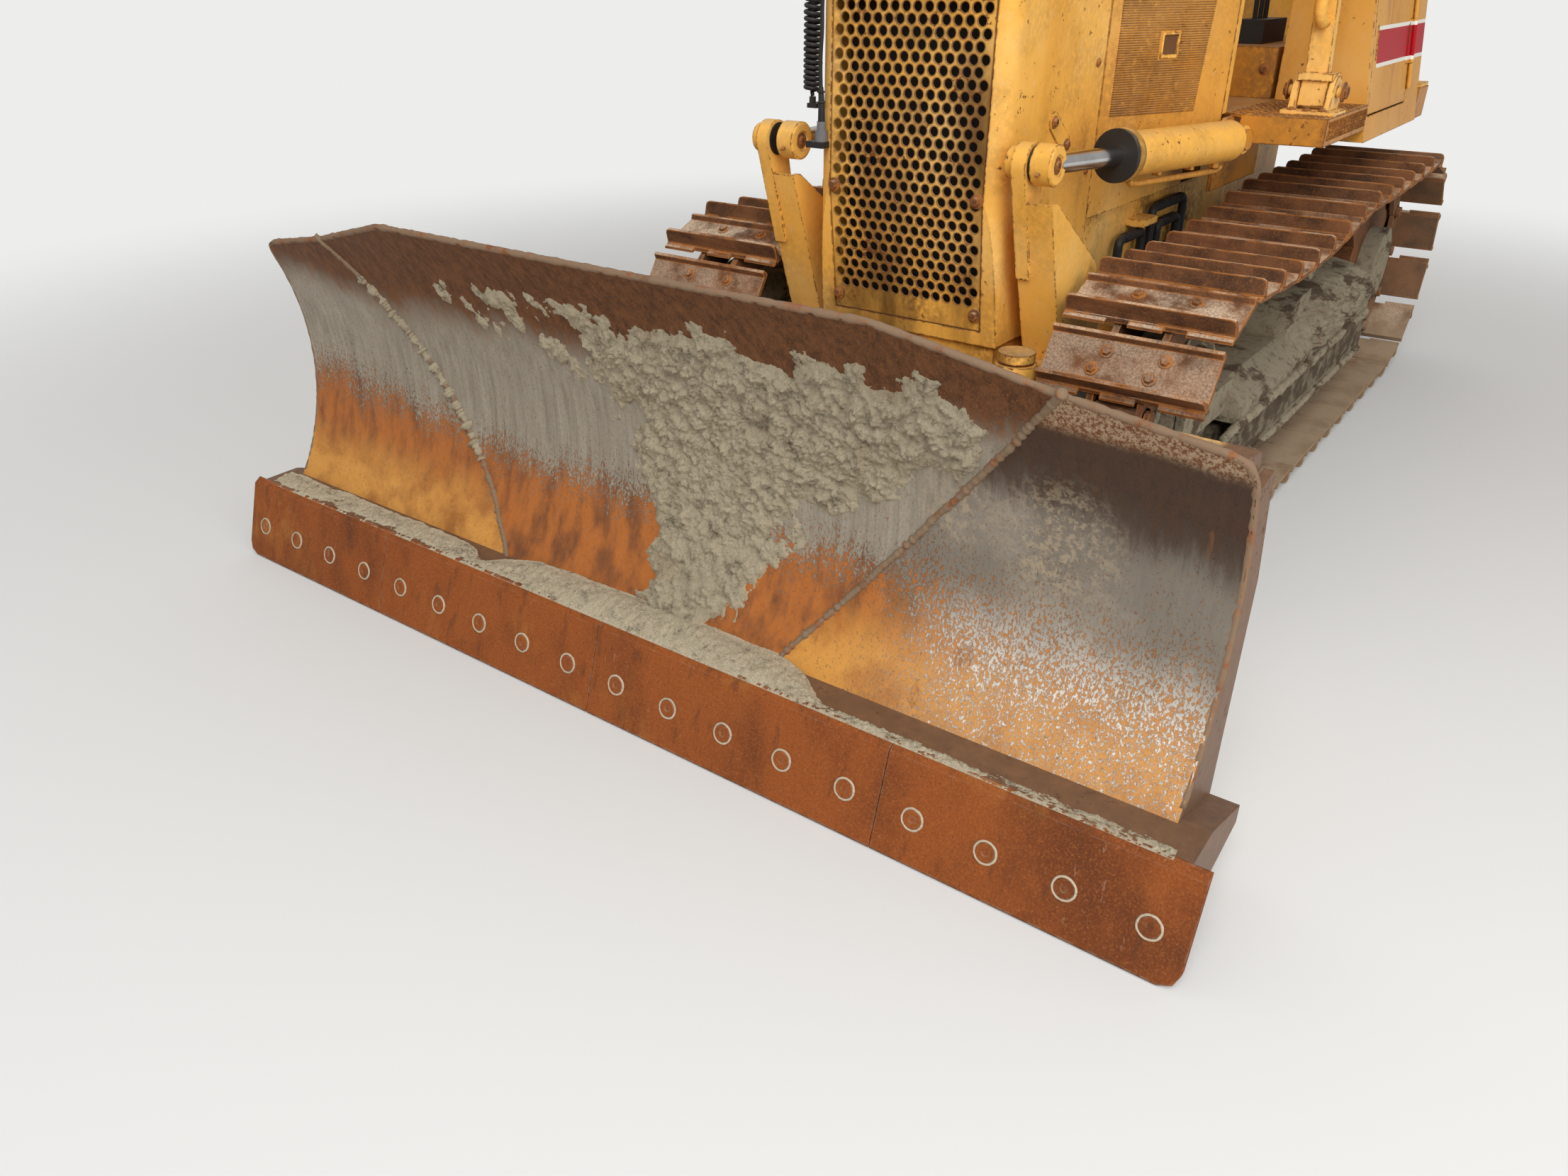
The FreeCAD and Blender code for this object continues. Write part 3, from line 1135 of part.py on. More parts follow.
def work_lamps():
    """Two lamps under the roof's front edge and one behind, each in a round housing."""
    lamps = []
    for x, y, facing in ((520, ROOF_FRONT + 40, -1), (-520, ROOF_FRONT + 40, -1), (0, ROOF_REAR - 40, 1)):
        z = ROOF_LOW - 85
        lens = bar(V(x, y, z), V(x, y + facing * 50, z), 68)
        body = bar(V(x, y - facing * 60, z), V(x, y, z), 50)
        hanger = box(x - 12, x + 12, y - 12, y + 12, z + 45, ROOF_LOW)
        lamps.append(joined([lens, body, hanger]))
    return lamps


def drawbar():
    """Rear tow plate with its pin hole, on a thick pad."""
    pad = box(-170, 170, HULL_REAR, HULL_REAR + 40, DRAWBAR_Z - 85, DRAWBAR_Z + 210)
    tongue = [(-110, HULL_REAR + 40), (110, HULL_REAR + 40), (70, DRAWBAR_REAR - 70),
              (0, DRAWBAR_REAR, -70, DRAWBAR_REAR - 70)]
    plate = slab(tongue, "xy", DRAWBAR_Z - 25, DRAWBAR_Z + 25)
    plate = plate.cut(bar(V(0, DRAWBAR_REAR - 75, DRAWBAR_Z - 100), V(0, DRAWBAR_REAR - 75, DRAWBAR_Z + 100),
                          DRAWBAR_PIN_R))
    return joined([pad, plate])


# Hoses and the curly cable

def hydraulic_hoses():
    """Three hoses in arches on the hull's left side, and the block that clamps them."""
    skin = HULL_HALF
    x = skin + HOSE_OUT
    hoses = []
    for y0, y1, low, top, out in ((1870, 2060, 620, 740, 0), (2130, 2420, 640, 800, 0), (2180, 2360, 640, 745, 6)):
        points = [V(skin, y0, low), V(x + out, y0, low), V(x + out, y0, top), V(x + out, y1, top),
                  V(x + out, y1, low), V(skin, y1, low)]
        hoses.append(bent_pipe(points, HOSE_R, HOSE_OUT * 0.8))
    clamp = box(skin, x + 28, 1990, 2110, 762, 784)
    return hoses + [clamp]


def cable_fittings():
    """Socket block at the cable's foot, the hook that it hangs over and the gland under its coil."""
    side = -GUARD_HALF
    held = GUARD_FRONT + GUARD_ROUND + 20
    low = PLUG_LOW - 16
    socket = joined([box(side - 12, side, PLUG_Y - 18, held, low, PLUG_LOW),
                     box(side - 12, PLUG_X + 18, PLUG_Y - 18, GUARD_FRONT - 1, low, PLUG_LOW)])
    peg = bar(V(HOOK_X, HOOK_BACK + 8, HOOK_Z), V(HOOK_X, PLUG_Y - 2, HOOK_Z), HOOK_R)
    bracket = bar(V(side, HOOK_BACK, HOOK_Z), V(HOOK_X, HOOK_BACK, HOOK_Z), HOOK_R - 2)
    arm_z = COIL_LOW - 22
    arm = box(COIL_X - 11, side, COIL_Y - 11, held, arm_z - 6, arm_z + 6)
    gland = bar(V(COIL_X, COIL_Y, arm_z), V(COIL_X, COIL_Y, COIL_LOW), 9)
    return [socket, joined([peg, bracket]), joined([arm, gland])]


def cable_plug():
    """Plug in the socket, tapering up to the cable."""
    body = bar(V(PLUG_X, PLUG_Y, PLUG_LOW), V(PLUG_X, PLUG_Y, PLUG_LOW + 28), 17)
    boot = bar(V(PLUG_X, PLUG_Y, PLUG_LOW + 28), V(PLUG_X, PLUG_Y, PLUG_HIGH), 12)
    return joined([body, boot])


def cable_route():
    """Corners of the cable's free stretch, up from the plug and over the hook to the coil's top."""
    return [V(PLUG_X, PLUG_Y, PLUG_HIGH), V(PLUG_X, PLUG_Y, 1167), V(-266, 1050, 1224), V(-265, 1047, 1284),
            V(-261, 1048, 1344), V(-264, 1050, 1404), V(-259, 1049, 1466), V(-254, 1046, 1522),
            V(-276, 1055, 1545), V(-306, 1068, 1545), V(-328, 1079, 1522), V(-323, 1078, 1484),
            V(-323, 1078, COIL_HIGH)]


def cable_lead():
    """Round tube along the route, each corner's arc as large as its runs allow."""
    points = cable_route()
    edges = []
    last = points[0]
    for before, corner, after in zip(points, points[1:], points[2:]):
        come = corner - before
        go = after - corner
        back = 0.45 * min(come.Length, go.Length)
        half_turn = come.getAngle(go) / 2
        print("cable arc radius", round(back / math.tan(half_turn), 1))
        start = corner - V(come).normalize() * back
        end = corner + V(go).normalize() * back
        inward = (V(go).normalize() - V(come).normalize()).normalize()
        radius = back / math.tan(half_turn)
        mid = corner + inward * (radius / math.cos(half_turn) - radius)
        edges += [Part.LineSegment(last, start).toShape(), Part.Arc(start, mid, end).toShape()]
        last = end
    edges.append(Part.LineSegment(last, points[-1]).toShape())
    path = Part.Wire(edges)
    circle = Part.Wire(Part.makeCircle(CABLE_R, points[0], points[1] - points[0]))
    lead = path.makePipeShell([circle], True, False)
    print("cable lead", round(path.Length), "volume share", round(lead.Volume / (math.pi * CABLE_R ** 2 * path.Length), 4))
    return lead


def cable_coil():
    return bar(V(COIL_X, COIL_Y, COIL_LOW), V(COIL_X, COIL_Y, COIL_HIGH), COIL_R)


# Every node, with the solids that it holds

def main():
    save("main_frame", main_frame())
    save("engine", engine_block(), radiator_core())
    save("radiator_guard", radiator_guard())
    save("front_grille", *front_grille())
    save("engine_panels", *both_sides(engine_panel()))
    save("hood_top", *hood_top())
    save("dash_cowl", dash_cowl())
    save("hood_stacks", *hood_stacks())
    save("platform", platform())
    save("seat_riser", seat_riser())
    save("seat", seat_cushion(), seat_back())
    save("control_levers", *control_levers())
    save("side_boxes", *both_sides(side_box()))
    save("box_door_left", box_door())
    save("box_door_right", mirrored(box_door()))
    save("fuel_tank", fuel_tank())
    save("rops_posts", *rops_posts(), *handrails())
    save("rops_roof", rops_roof())
    save("work_lamps", *work_lamps())
    save("drawbar", drawbar())
    save("hydraulic_hoses", *hydraulic_hoses())
    save("cable_fittings", *cable_fittings())
    save("cable_plug", cable_plug())
    save("cable_lead", cable_lead())
    save("cable_coil", cable_coil())
    for side, sign in (("left", 1), ("right", -1)):
        save("track_" + side, track(sign))
    save("track_frames", track_frame(1), track_frame(-1))
    save("idlers", *idlers())
    save("sprockets", *sprockets())
    save("track_rollers", *track_rollers())
    save("final_drives", *final_drives())
    save("c_frame", c_frame())
    save("lift_towers", *lift_towers())
    save("angle_yoke", angle_yoke())
    save("moldboard", moldboard())
    save("blade_frame", blade_frame())
    save("cutting_edges", *cutting_edges())
    for side, sign in (("left", 1), ("right", -1)):
        tube_part, rod_part = lift_cylinder(side)
        save("lift_barrel_" + side, tube_part)
        save("lift_rod_" + side, rod_part)
        tube_part, rod_part = angle_cylinder(sign)
        save("angle_barrel_" + side, tube_part)
        save("angle_rod_" + side, rod_part)
    tube_part, rod_part = tilt_cylinder()
    save("tilt_barrel", tube_part)
    save("tilt_rod", rod_part)


main()
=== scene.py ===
import bisect
import math

import bmesh
import bpy
import numpy as np
from mathutils import Matrix, Vector, noise


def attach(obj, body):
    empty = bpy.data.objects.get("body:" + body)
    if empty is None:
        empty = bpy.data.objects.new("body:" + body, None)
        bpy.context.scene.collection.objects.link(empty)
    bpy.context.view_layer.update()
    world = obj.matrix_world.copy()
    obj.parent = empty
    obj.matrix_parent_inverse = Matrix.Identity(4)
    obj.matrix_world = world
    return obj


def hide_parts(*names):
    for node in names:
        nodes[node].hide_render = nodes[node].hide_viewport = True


# Looks of the crawler bulldozer. Metres; -Y forward, +X the machine's left, ground Z = 0.
# Stations along Y are the CAD's, less SHIFT, which puts the origin under the machine's middle.

SHIFT = 1.897
SIDES = (("left", 1), ("right", -1))
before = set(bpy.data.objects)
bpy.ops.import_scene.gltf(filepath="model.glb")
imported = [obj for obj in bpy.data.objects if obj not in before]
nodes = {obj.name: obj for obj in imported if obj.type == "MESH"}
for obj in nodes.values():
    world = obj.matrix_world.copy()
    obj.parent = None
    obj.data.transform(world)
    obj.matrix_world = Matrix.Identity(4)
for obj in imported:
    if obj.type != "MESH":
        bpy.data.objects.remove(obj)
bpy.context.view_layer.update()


def at(x, y, z):
    return Vector((x, y - SHIFT, z))


def add_object(name, data):
    """A new object in the scene."""
    obj = bpy.data.objects.new(name, data)
    bpy.context.scene.collection.objects.link(obj)
    return obj


def full_turn(count):
    """Angles at equal steps round a circle."""
    return [2 * math.pi * i / count for i in range(count)]


def crumble(x, y, z, octaves=4):
    """Coarse noise around zero at a place."""
    return noise.fractal(Vector((x, y, z)), 0.8, 2.1, octaves)


def ease(value, low, high):
    """0 below the low limit, 1 above the high one, and a smooth rise between them."""
    t = max(0.0, min(1.0, (value - low) / (high - low)))
    return t * t * (3 - 2 * t)


# Camera at the photograph's angle

CAMERA_AT = at(1.6397, -1.6803, 1.4930)
YAW = 0.6386
PITCH = 0.499

camera_data = bpy.data.cameras.new("camera")
camera_data.sensor_width = 36
camera_data.lens = 26.23
camera = add_object("camera", camera_data)
turn = Matrix.Rotation(YAW, 4, "Z") @ Matrix.Rotation(math.pi / 2 - PITCH, 4, "X")
camera.matrix_world = Matrix.Translation(CAMERA_AT) @ turn
bpy.context.scene.camera = camera


# Materials

class Look:
    """A material or a world, with short calls for the nodes that the finishes here use."""

    def __init__(self, name, kind=bpy.data.materials):
        self.result = kind.new(name)
        self.result.use_nodes = True
        self.tree = self.result.node_tree
        self.tree.nodes.clear()
        self.place = self.add("TexCoord").outputs["Object"]
        self.color = None

    def add(self, kind, inputs=None, **settings):
        """A shader node of a kind, with its settings, and its inputs linked or set."""
        node = self.tree.nodes.new("ShaderNode" + kind)
        for key, value in settings.items():
            setattr(node, key, value)
        for key, value in (inputs or {}).items():
            if isinstance(value, bpy.types.NodeSocket):
                self.tree.links.new(value, node.inputs[key])
            else:
                node.inputs[key].default_value = value
        return node

    def noise(self, scale, stretch=(1, 1, 1), detail=6, rough=0.6, seed=0.0):
        stretched = self.add("Mapping", {"Vector": self.place, "Scale": stretch}).outputs[0]
        inputs = {"Vector": stretched, "W": seed, "Scale": scale, "Detail": detail, "Roughness": rough}
        return self.add("TexNoise", inputs, noise_dimensions="4D").outputs["Fac"]

    def axis(self, name):
        return self.add("SeparateXYZ", {"Vector": self.place}).outputs[name.upper()]

    def calc(self, operation, a, b=0.0):
        return self.add("Math", {0: a, 1: b}, operation=operation).outputs[0]

    def both(self, *values):
        """Product of several masks."""
        result = values[0]
        for value in values[1:]:
            result = self.calc("MULTIPLY", result, value)
        return result

    def step(self, value, low, high, bottom=0.0, top=1.0):
        """A smooth rise from bottom to top as the value goes from low to high."""
        limits = {"Value": value, "From Min": low, "From Max": high, "To Min": bottom, "To Max": top}
        return self.add("MapRange", limits, interpolation_type="SMOOTHSTEP").outputs[0]

    def spots(self, low, high, scale, stretch=(1, 1, 1), **noise_settings):
        """0 where a noise is at the first limit, 1 where it is at the second."""
        return self.step(self.noise(scale, stretch, **noise_settings), low, high)

    def near(self, point, radius):
        """1 close to a place on the machine, 0 beyond the radius."""
        away = self.add("VectorMath", {0: self.place, 1: point}, operation="DISTANCE")
        return self.step(away.outputs["Value"], radius, radius * 0.4)

    def mix_value(self, a, b, factor):
        return self.add("Mix", {0: factor, 2: a, 3: b}).outputs[0]

    def mix(self, a, b, factor):
        return self.add("Mix", {0: factor, 6: a, 7: b}, data_type="RGBA").outputs[2]

    def over(self, color, tone, *masks):
        """A tone laid over a colour where all the masks are 1."""
        return self.mix(color, tone, self.both(*masks))

    def lay(self, tone, *masks):
        """A tone laid over the finish so far."""
        self.color = self.over(self.color, tone, *masks)

    def worn_edge(self, radius=0.008):
        """1 on sharp outer edges and corners, 0 on flats."""
        soft = self.add("Bevel", {"Radius": radius}, samples=6).outputs[0]
        plain = self.add("NewGeometry").outputs["Normal"]
        near = self.add("VectorMath", {0: soft, 1: plain}, operation="DOT_PRODUCT").outputs["Value"]
        return self.step(near, 0.995, 0.9)

    def up(self):
        """1 on faces that look up."""
        plain = self.add("NewGeometry").outputs["Normal"]
        return self.add("SeparateXYZ", {"Vector": plain}).outputs["Z"]

    def surface(self, shader, kind="OutputMaterial"):
        self.add(kind, {"Surface": shader.outputs[0]})
        return self.result

    def finish(self, rough, metal, bump, depth, soft=0.0, sheen=0.2):
        """The colour as a surface with fine relief, its edges rounded by the soft radius."""
        relief = {"Height": bump, "Distance": depth}
        if soft:
            relief["Normal"] = self.add("Bevel", {"Radius": soft}, samples=4).outputs[0]
        normal = self.add("Bump", relief).outputs[0]
        return self.surface(self.add("BsdfPrincipled", {
            "Base Color": self.color, "Roughness": rough, "Metallic": metal, "Specular IOR Level": sheen,
            "Normal": normal}))


def rgb(red, green, blue):
    return (red, green, blue, 1.0)


YELLOW = rgb(0.90, 0.47, 0.085)
YELLOW_PALE = rgb(0.95, 0.60, 0.20)
YELLOW_CHALKY = rgb(0.88, 0.66, 0.34)
YELLOW_DEEP = rgb(0.70, 0.31, 0.035)
# Yellow darkened as painted shade, laid in patches where a surface lies in shade
YELLOW_SHADED = rgb(0.52, 0.20, 0.022)
GREASE = rgb(0.055, 0.026, 0.010)
RUST_DARK = rgb(0.075, 0.030, 0.014)
RUST = rgb(0.25, 0.078, 0.018)
DUST = rgb(0.36, 0.27, 0.17)
MUD = rgb(0.62, 0.52, 0.36)
# Painted shade for the hollows of dried soil's relief
MUD_SHADE = rgb(0.17, 0.130, 0.083)
MUD_PALE = rgb(0.88, 0.78, 0.58)
TAN = rgb(0.50, 0.37, 0.23)
GRIME = rgb(0.17, 0.085, 0.030)

# The side boxes' band, from this station back: heights and colours of its pale borders and its red middle
BAND_FROM = 2.703
BAND = ((1.202, 1.323, rgb(0.85, 0.82, 0.74)), (1.214, 1.311, rgb(0.44, 0.0, 0.008)))

# The moldboard's diagonal seams: half their distance at this height, and its growth with height
SEAM_FOOT = 0.24
SEAM_HALF = 0.436
SEAM_SLOPE = 0.803


def yellow_paint(name, wear=1.0, dirt=0.35, band=False, grime_top=None, rusty_front=False, painted_shade=0.0):
    """Faded yellow paint with chips, rusty edges, runs of rust, dust on top and grease low down, and where
    asked, patches darkened as painted shade.
    """
    look = Look(name)
    z = look.axis("z")
    look.color = look.mix(YELLOW, YELLOW_PALE, look.spots(0.42, 0.72, 2.3, detail=5))
    look.lay(YELLOW_DEEP, look.spots(0.5, 0.75, 3.1, (1, 1, 0.35), seed=3), 0.8)
    look.lay(YELLOW_CHALKY, look.spots(0.56, 0.72, 26, seed=13), 0.25)
    # Painted shade: patches darkened towards the shaded yellow, as strongly as this setting asks
    if painted_shade:
        look.lay(YELLOW_SHADED, look.step(look.noise(4, seed=21), 0.1, 0.6, painted_shade * 0.75, painted_shade))
    streak = look.spots(0.56, 0.70, 10, (1, 1, 0.10), detail=5, seed=7)
    look.lay(RUST, streak, look.spots(0.42, 0.62, 2.1, seed=11), 0.6 * wear)
    look.lay(GRIME, look.spots(0.35, 0.7, 5, seed=5), look.spots(0.3, 0.6, 60, seed=4), dirt, 0.85)
    if band:
        behind = look.calc("GREATER_THAN", look.axis("y"), BAND_FROM - SHIFT)
        for low, high, tone in BAND:
            above = look.calc("GREATER_THAN", z, low)
            look.lay(tone, above, look.calc("LESS_THAN", z, high), behind)
    if grime_top:
        low_down = look.step(z, grime_top, grime_top - 0.40)
        look.lay(GREASE, low_down, look.spots(0.62, 0.34, 4, (1, 1, 0.3), detail=7, seed=15), 0.88)
    few = look.step(look.noise(6, seed=9), 0.42, 0.72, 0.0, 0.085 * wear)
    cut = look.calc("ADD", look.both(look.worn_edge(), 0.15 * wear), few)
    chips = look.step(look.calc("ADD", look.noise(55, detail=8, rough=0.7, seed=2), cut), 0.655, 0.685)
    look.lay(look.mix(RUST_DARK, RUST, look.noise(90, seed=1)), chips)
    look.lay(DUST, look.step(look.up(), 0.6, 0.95), look.spots(0.3, 0.65, 14, seed=8), 0.5 * dirt + 0.15)
    if rusty_front:
        ahead = look.both(look.step(look.axis("y"), 0.03 - SHIFT, 0.0 - SHIFT), look.step(z, 0.34, 0.30))
        beyond = look.step(look.calc("ABSOLUTE", look.axis("x")), 1.19, 1.21)
        grimy = look.mix(rgb(0.085, 0.050, 0.032), rgb(0.24, 0.125, 0.065), look.noise(40, seed=16))
        look.lay(grimy, look.calc("MAXIMUM", ahead, beyond))
    bump = look.calc("SUBTRACT", look.both(look.noise(160, detail=3), 0.25), chips)
    return look.finish(look.step(chips, 0, 1, 0.45, 0.85), 0.0, bump, 0.0006, 0.003, 0.18)


def blade_steel():
    """Scoured steel: brown rust above, grey middle, and rust dots that close up to orange low down."""
    look = Look("blade_steel")
    x = look.axis("x")
    z = look.axis("z")
    streaks = look.noise(60, (1, 1, 0.05), detail=6, rough=0.7, seed=2)
    fine = look.noise(260, (1, 1, 0.6), detail=4, rough=0.75, seed=3)

    # Height with ragged borders, and masks of the wings
    wave = look.both(look.calc("SUBTRACT", look.noise(2.4, (1, 1, 0.5), seed=1), 0.5), 0.26)
    comb = look.both(look.calc("SUBTRACT", streaks, 0.5), 0.16)
    level = look.calc("ADD", look.calc("ADD", z, wave), comb)
    seam = look.calc("ADD", look.both(look.calc("SUBTRACT", z, SEAM_FOOT), SEAM_SLOPE), SEAM_HALF)
    left_wing = look.calc("GREATER_THAN", x, seam)
    wings = look.calc("MAXIMUM", left_wing, look.calc("GREATER_THAN", look.both(x, -1.0), seam))
    scoured = look.both(look.step(look.calc("ADD", x, wave), 0.50, 0.85), left_wing)

    # Grey steel, whitish where it is scoured, under brown rust along the top
    grey = look.mix(rgb(0.19, 0.165, 0.130), rgb(0.38, 0.34, 0.27), look.step(streaks, 0.2, 0.8))
    grey = look.over(grey, rgb(0.16, 0.142, 0.120), left_wing, 0.75)
    grey = look.over(grey, rgb(0.42, 0.375, 0.31), look.spots(0.45, 0.7, 5, seed=14), wings, 0.4)
    grey = look.over(grey, rgb(0.24, 0.155, 0.085), look.step(fine, 0.45, 0.65), 0.5)
    white = look.both(scoured, look.step(level, 0.48, 0.30))
    grey = look.over(grey, rgb(0.84, 0.78, 0.70), white, look.step(streaks, 0.2, 0.7, 0.35, 1.0))
    brown = look.mix(rgb(0.060, 0.026, 0.012), rgb(0.17, 0.070, 0.028), look.step(streaks, 0.3, 0.7))
    brown = look.over(brown, rgb(0.30, 0.105, 0.028), look.step(fine, 0.50, 0.62), 0.6)
    top = look.step(look.calc("ADD", level, look.both(left_wing, 0.09)), 0.73, 0.83)
    look.color = look.mix(grey, brown, top)

    # Orange rust in dots that close up downwards, golden on the wings
    blots = look.spots(0.3, 0.6, 20, (1, 1, 0.3), seed=4)
    rust = look.mix(rgb(0.17, 0.050, 0.012), rgb(0.44, 0.130, 0.018), blots)
    gold = look.mix(rgb(0.34, 0.110, 0.016), rgb(0.66, 0.30, 0.055), look.spots(0.30, 0.62, 9, seed=6))
    rust = look.over(rust, gold, wings, look.step(z, 0.40, 0.26))
    rust = look.over(rust, rgb(0.62, 0.27, 0.055), scoured, look.step(z, 0.66, 0.34), 0.6)
    ends = look.mix_value(0.54, 0.64, wings)
    starts = look.mix_value(look.mix_value(0.31, 0.36, wings), 0.20, scoured)
    cover = look.both(look.step(level, ends, starts), look.mix_value(1.15, 0.80, scoured), 0.20)
    dots = look.noise(200, (1, 1, 0.55), detail=6, rough=0.8, seed=8)
    dots = look.step(look.calc("ADD", dots, cover), 0.605, 0.635)
    look.lay(rust, dots, 0.92)

    # Dark stain and peppered crest of the left wing, pits, runs, and patches of soil
    dark = look.both(look.step(x, 0.66, 0.86), look.step(level, 0.60, 0.70), left_wing)
    look.lay(rgb(0.050, 0.033, 0.024), dark, look.step(z, 0.86, 0.82), 0.8)
    pepper = look.spots(0.47, 0.53, 150, (1, 1, 0.7), detail=6, rough=0.8, seed=18)
    tone = look.mix(rgb(0.42, 0.30, 0.19), rgb(0.17, 0.065, 0.026), pepper)
    crest = look.step(look.calc("ADD", z, look.both(wave, 0.5)), 0.815, 0.845)
    look.lay(tone, left_wing, crest, 0.9)
    look.lay(RUST_DARK, look.spots(0.60, 0.65, 120, detail=7, rough=0.75, seed=9), 0.7)
    runs = look.spots(0.63, 0.70, 17, (1, 1, 0.06), detail=4, seed=17)
    look.lay(rgb(0.30, 0.12, 0.04), runs, look.step(z, 0.95, 0.75), 0.5)
    for place, radius in ((at(0.96, -0.02, 0.60), 0.17), (at(0.76, -0.02, 0.62), 0.12)):
        ragged = look.spots(0.48, 0.58, 60, detail=9, rough=0.75, seed=12)
        look.lay(rgb(0.38, 0.30, 0.20), look.near(place, radius), ragged, 0.75)
    return look.finish(look.step(fine, 0.3, 0.7, 0.5, 0.8), 0.1, look.calc("ADD", fine, dots), 0.0007)


def edge_rust(name="edge_rust", dark=0.0):
    """Even red-brown rust with orange bloom, darker stains and a few light scratches."""
    look = Look(name)
    blot = look.spots(0.33, 0.60, 4.5, (1, 1, 0.6), seed=1)
    look.color = look.mix(rgb(0.135, 0.036, 0.010), rgb(0.27, 0.070, 0.014), blot)
    bloom = look.both(look.spots(0.50, 0.70, 3.1, seed=4), look.spots(0.4, 0.6, 30, (1, 1, 0.3)))
    look.lay(rgb(0.38, 0.150, 0.030), bloom, 0.8)
    fine = look.noise(230, rough=0.75, seed=2)
    look.lay(rgb(0.36, 0.125, 0.032), look.step(fine, 0.50, 0.64), 0.6)
    look.lay(RUST_DARK, look.step(fine, 0.48, 0.34), 0.6)
    drip = look.spots(0.54, 0.68, 34, (1, 1, 0.06), detail=4, seed=9)
    look.lay(rgb(0.085, 0.032, 0.014), drip, 0.5)
    scratch = look.spots(0.66, 0.70, 75, (1, 1, 0.035), detail=5, seed=6)
    look.lay(rgb(0.42, 0.27, 0.17), scratch, 0.35)
    look.lay(rgb(0.36, 0.24, 0.16), look.worn_edge(0.005), look.spots(0.4, 0.6, 40, seed=3), 0.5)
    if dark:
        look.lay(rgb(0.22, 0.150, 0.095), look.step(look.noise(28, seed=8), 0.25, 0.5, 0.0, dark))
    return look.finish(0.78, 0.0, fine, 0.0008, 0.003)


def track_rust(name, scoured):
    """Brown rusty track steel, scoured and dusty on its flats, orange at its edges, tan near the ground."""
    look = Look(name)
    blot = look.spots(0.33, 0.66, 9, seed=1)
    look.color = look.mix(rgb(0.065, 0.030, 0.016), rgb(0.20, 0.082, 0.034), blot)
    fine = look.noise(190, rough=0.75, seed=2)
    look.lay(rgb(0.33, 0.13, 0.04), look.step(fine, 0.5, 0.63), 0.5)
    flat = look.both(look.step(look.up(), 0.35, 0.75), look.spots(0.38, 0.55, 7, detail=7, seed=5))
    pale = look.mix(rgb(0.33, 0.215, 0.135), rgb(0.80, 0.64, 0.47), look.step(fine, 0.35, 0.62))
    look.lay(pale, flat, scoured)
    look.lay(rgb(0.50, 0.185, 0.040), look.worn_edge(), look.spots(0.36, 0.55, 26, seed=3), 0.9)
    low = look.both(look.step(look.axis("z"), 0.30, 0.10), look.spots(0.2, 0.5, 5, seed=7))
    behind = look.both(look.step(look.axis("y"), 3.45 - SHIFT, 3.7 - SHIFT), 0.25)
    soiled = look.mix(TAN, rgb(0.22, 0.15, 0.10), fine)
    look.lay(soiled, look.calc("MAXIMUM", low, behind), 0.8)
    return look.finish(0.75, 0.0, fine, 0.0014, 0.003)


def dried_mud(name, pale=0.0, bare=0.0, tone=1.0):
    """Grey-beige dried soil, with painted shade darkening the hollows of its relief, pale grains and, if
    asked, painted shade along the frame's groove and bare steel showing through.
    """
    look = Look(name)
    soil, dark, light = (rgb(*(c * tone for c in base[:3])) for base in (MUD, MUD_SHADE, MUD_PALE))
    lump = look.noise(34, detail=9, rough=0.72, seed=1)
    grain = look.noise(300, rough=0.85, seed=2)
    # Painted shade: the dark tone sits where the lumps and grains of the relief sink
    look.color = look.mix(dark, soil, look.step(lump, 0.30, 0.52))
    look.lay(light, look.step(grain, 0.46, 0.64), 0.6 + pale)
    look.lay(dark, look.step(grain, 0.45, 0.32), 0.8)
    look.lay(rgb(0.34, 0.20, 0.10), look.spots(0.55, 0.7, 8, seed=4), 0.3)
    if bare:
        z = look.axis("z")
        # Painted shade: a dark band in patches between heights 0.21 and 0.32, where the track frame's groove
        # lies in shade
        groove_shade = look.both(look.step(z, 0.205, 0.225), look.step(z, 0.325, 0.305))
        patchy = look.step(look.noise(13, (1, 1, 1.5), detail=7, seed=19), 0.40, 0.55, 0.35, 0.9)
        look.lay(rgb(0.12, 0.088, 0.058), groove_shade, patchy)
        opens = 0.60 - bare * 0.15
        holes = look.spots(opens, opens + 0.06, 6, (1, 1, 2.2), detail=8, rough=0.65, seed=6)
        look.lay(look.mix(rgb(0.06, 0.040, 0.028), rgb(0.20, 0.13, 0.085), grain), holes, 0.85)
    return look.finish(0.95, 0.0, look.calc("ADD", grain, look.both(lump, 2.2)), 0.007, sheen=0.05)


def plain(name, color, rough, metal=0.0, grain=120, depth=0.0004, mottle=0.25, dusty=0.0):
    """One colour, mottled and finely grained, with dust on what looks up."""
    look = Look(name)
    shade = rgb(*(c * 0.5 for c in color[:3]))
    look.color = look.over(color, shade, look.spots(0.4, 0.7, 12), mottle)
    if dusty:
        look.lay(DUST, look.step(look.up(), 0.2, 0.9), look.spots(0.35, 0.65, 20, seed=3), dusty)
    return look.finish(rough, metal, look.noise(grain, detail=4), depth, 0.002, 0.35)


paint = yellow_paint("yellow_paint")
# The band, deck, panel and rib paints below are darkened in patches as painted shade
paint_box = yellow_paint("yellow_paint_band", 0.8, 0.2, band=True, painted_shade=0.55)
paint_deck = yellow_paint("yellow_paint_deck", 1.3, 0.9, painted_shade=0.9)
paint_guard = yellow_paint("yellow_paint_guard", 1.1, 0.45, grime_top=0.93)
paint_grille = yellow_paint("yellow_paint_grille", 2.2, 1.0, grime_top=1.55)
paint_panel = yellow_paint("yellow_paint_panel", 1.3, 0.55, painted_shade=0.55)
paint_ribs = yellow_paint("yellow_paint_ribs", 1.6, 1.0, painted_shade=0.35)
paint_dirty = yellow_paint("yellow_paint_dirty", 1.4, 1.0, grime_top=0.85)
paint_frame = yellow_paint("yellow_paint_blade", 1.5, 1.0, rusty_front=True)
steel = blade_steel()
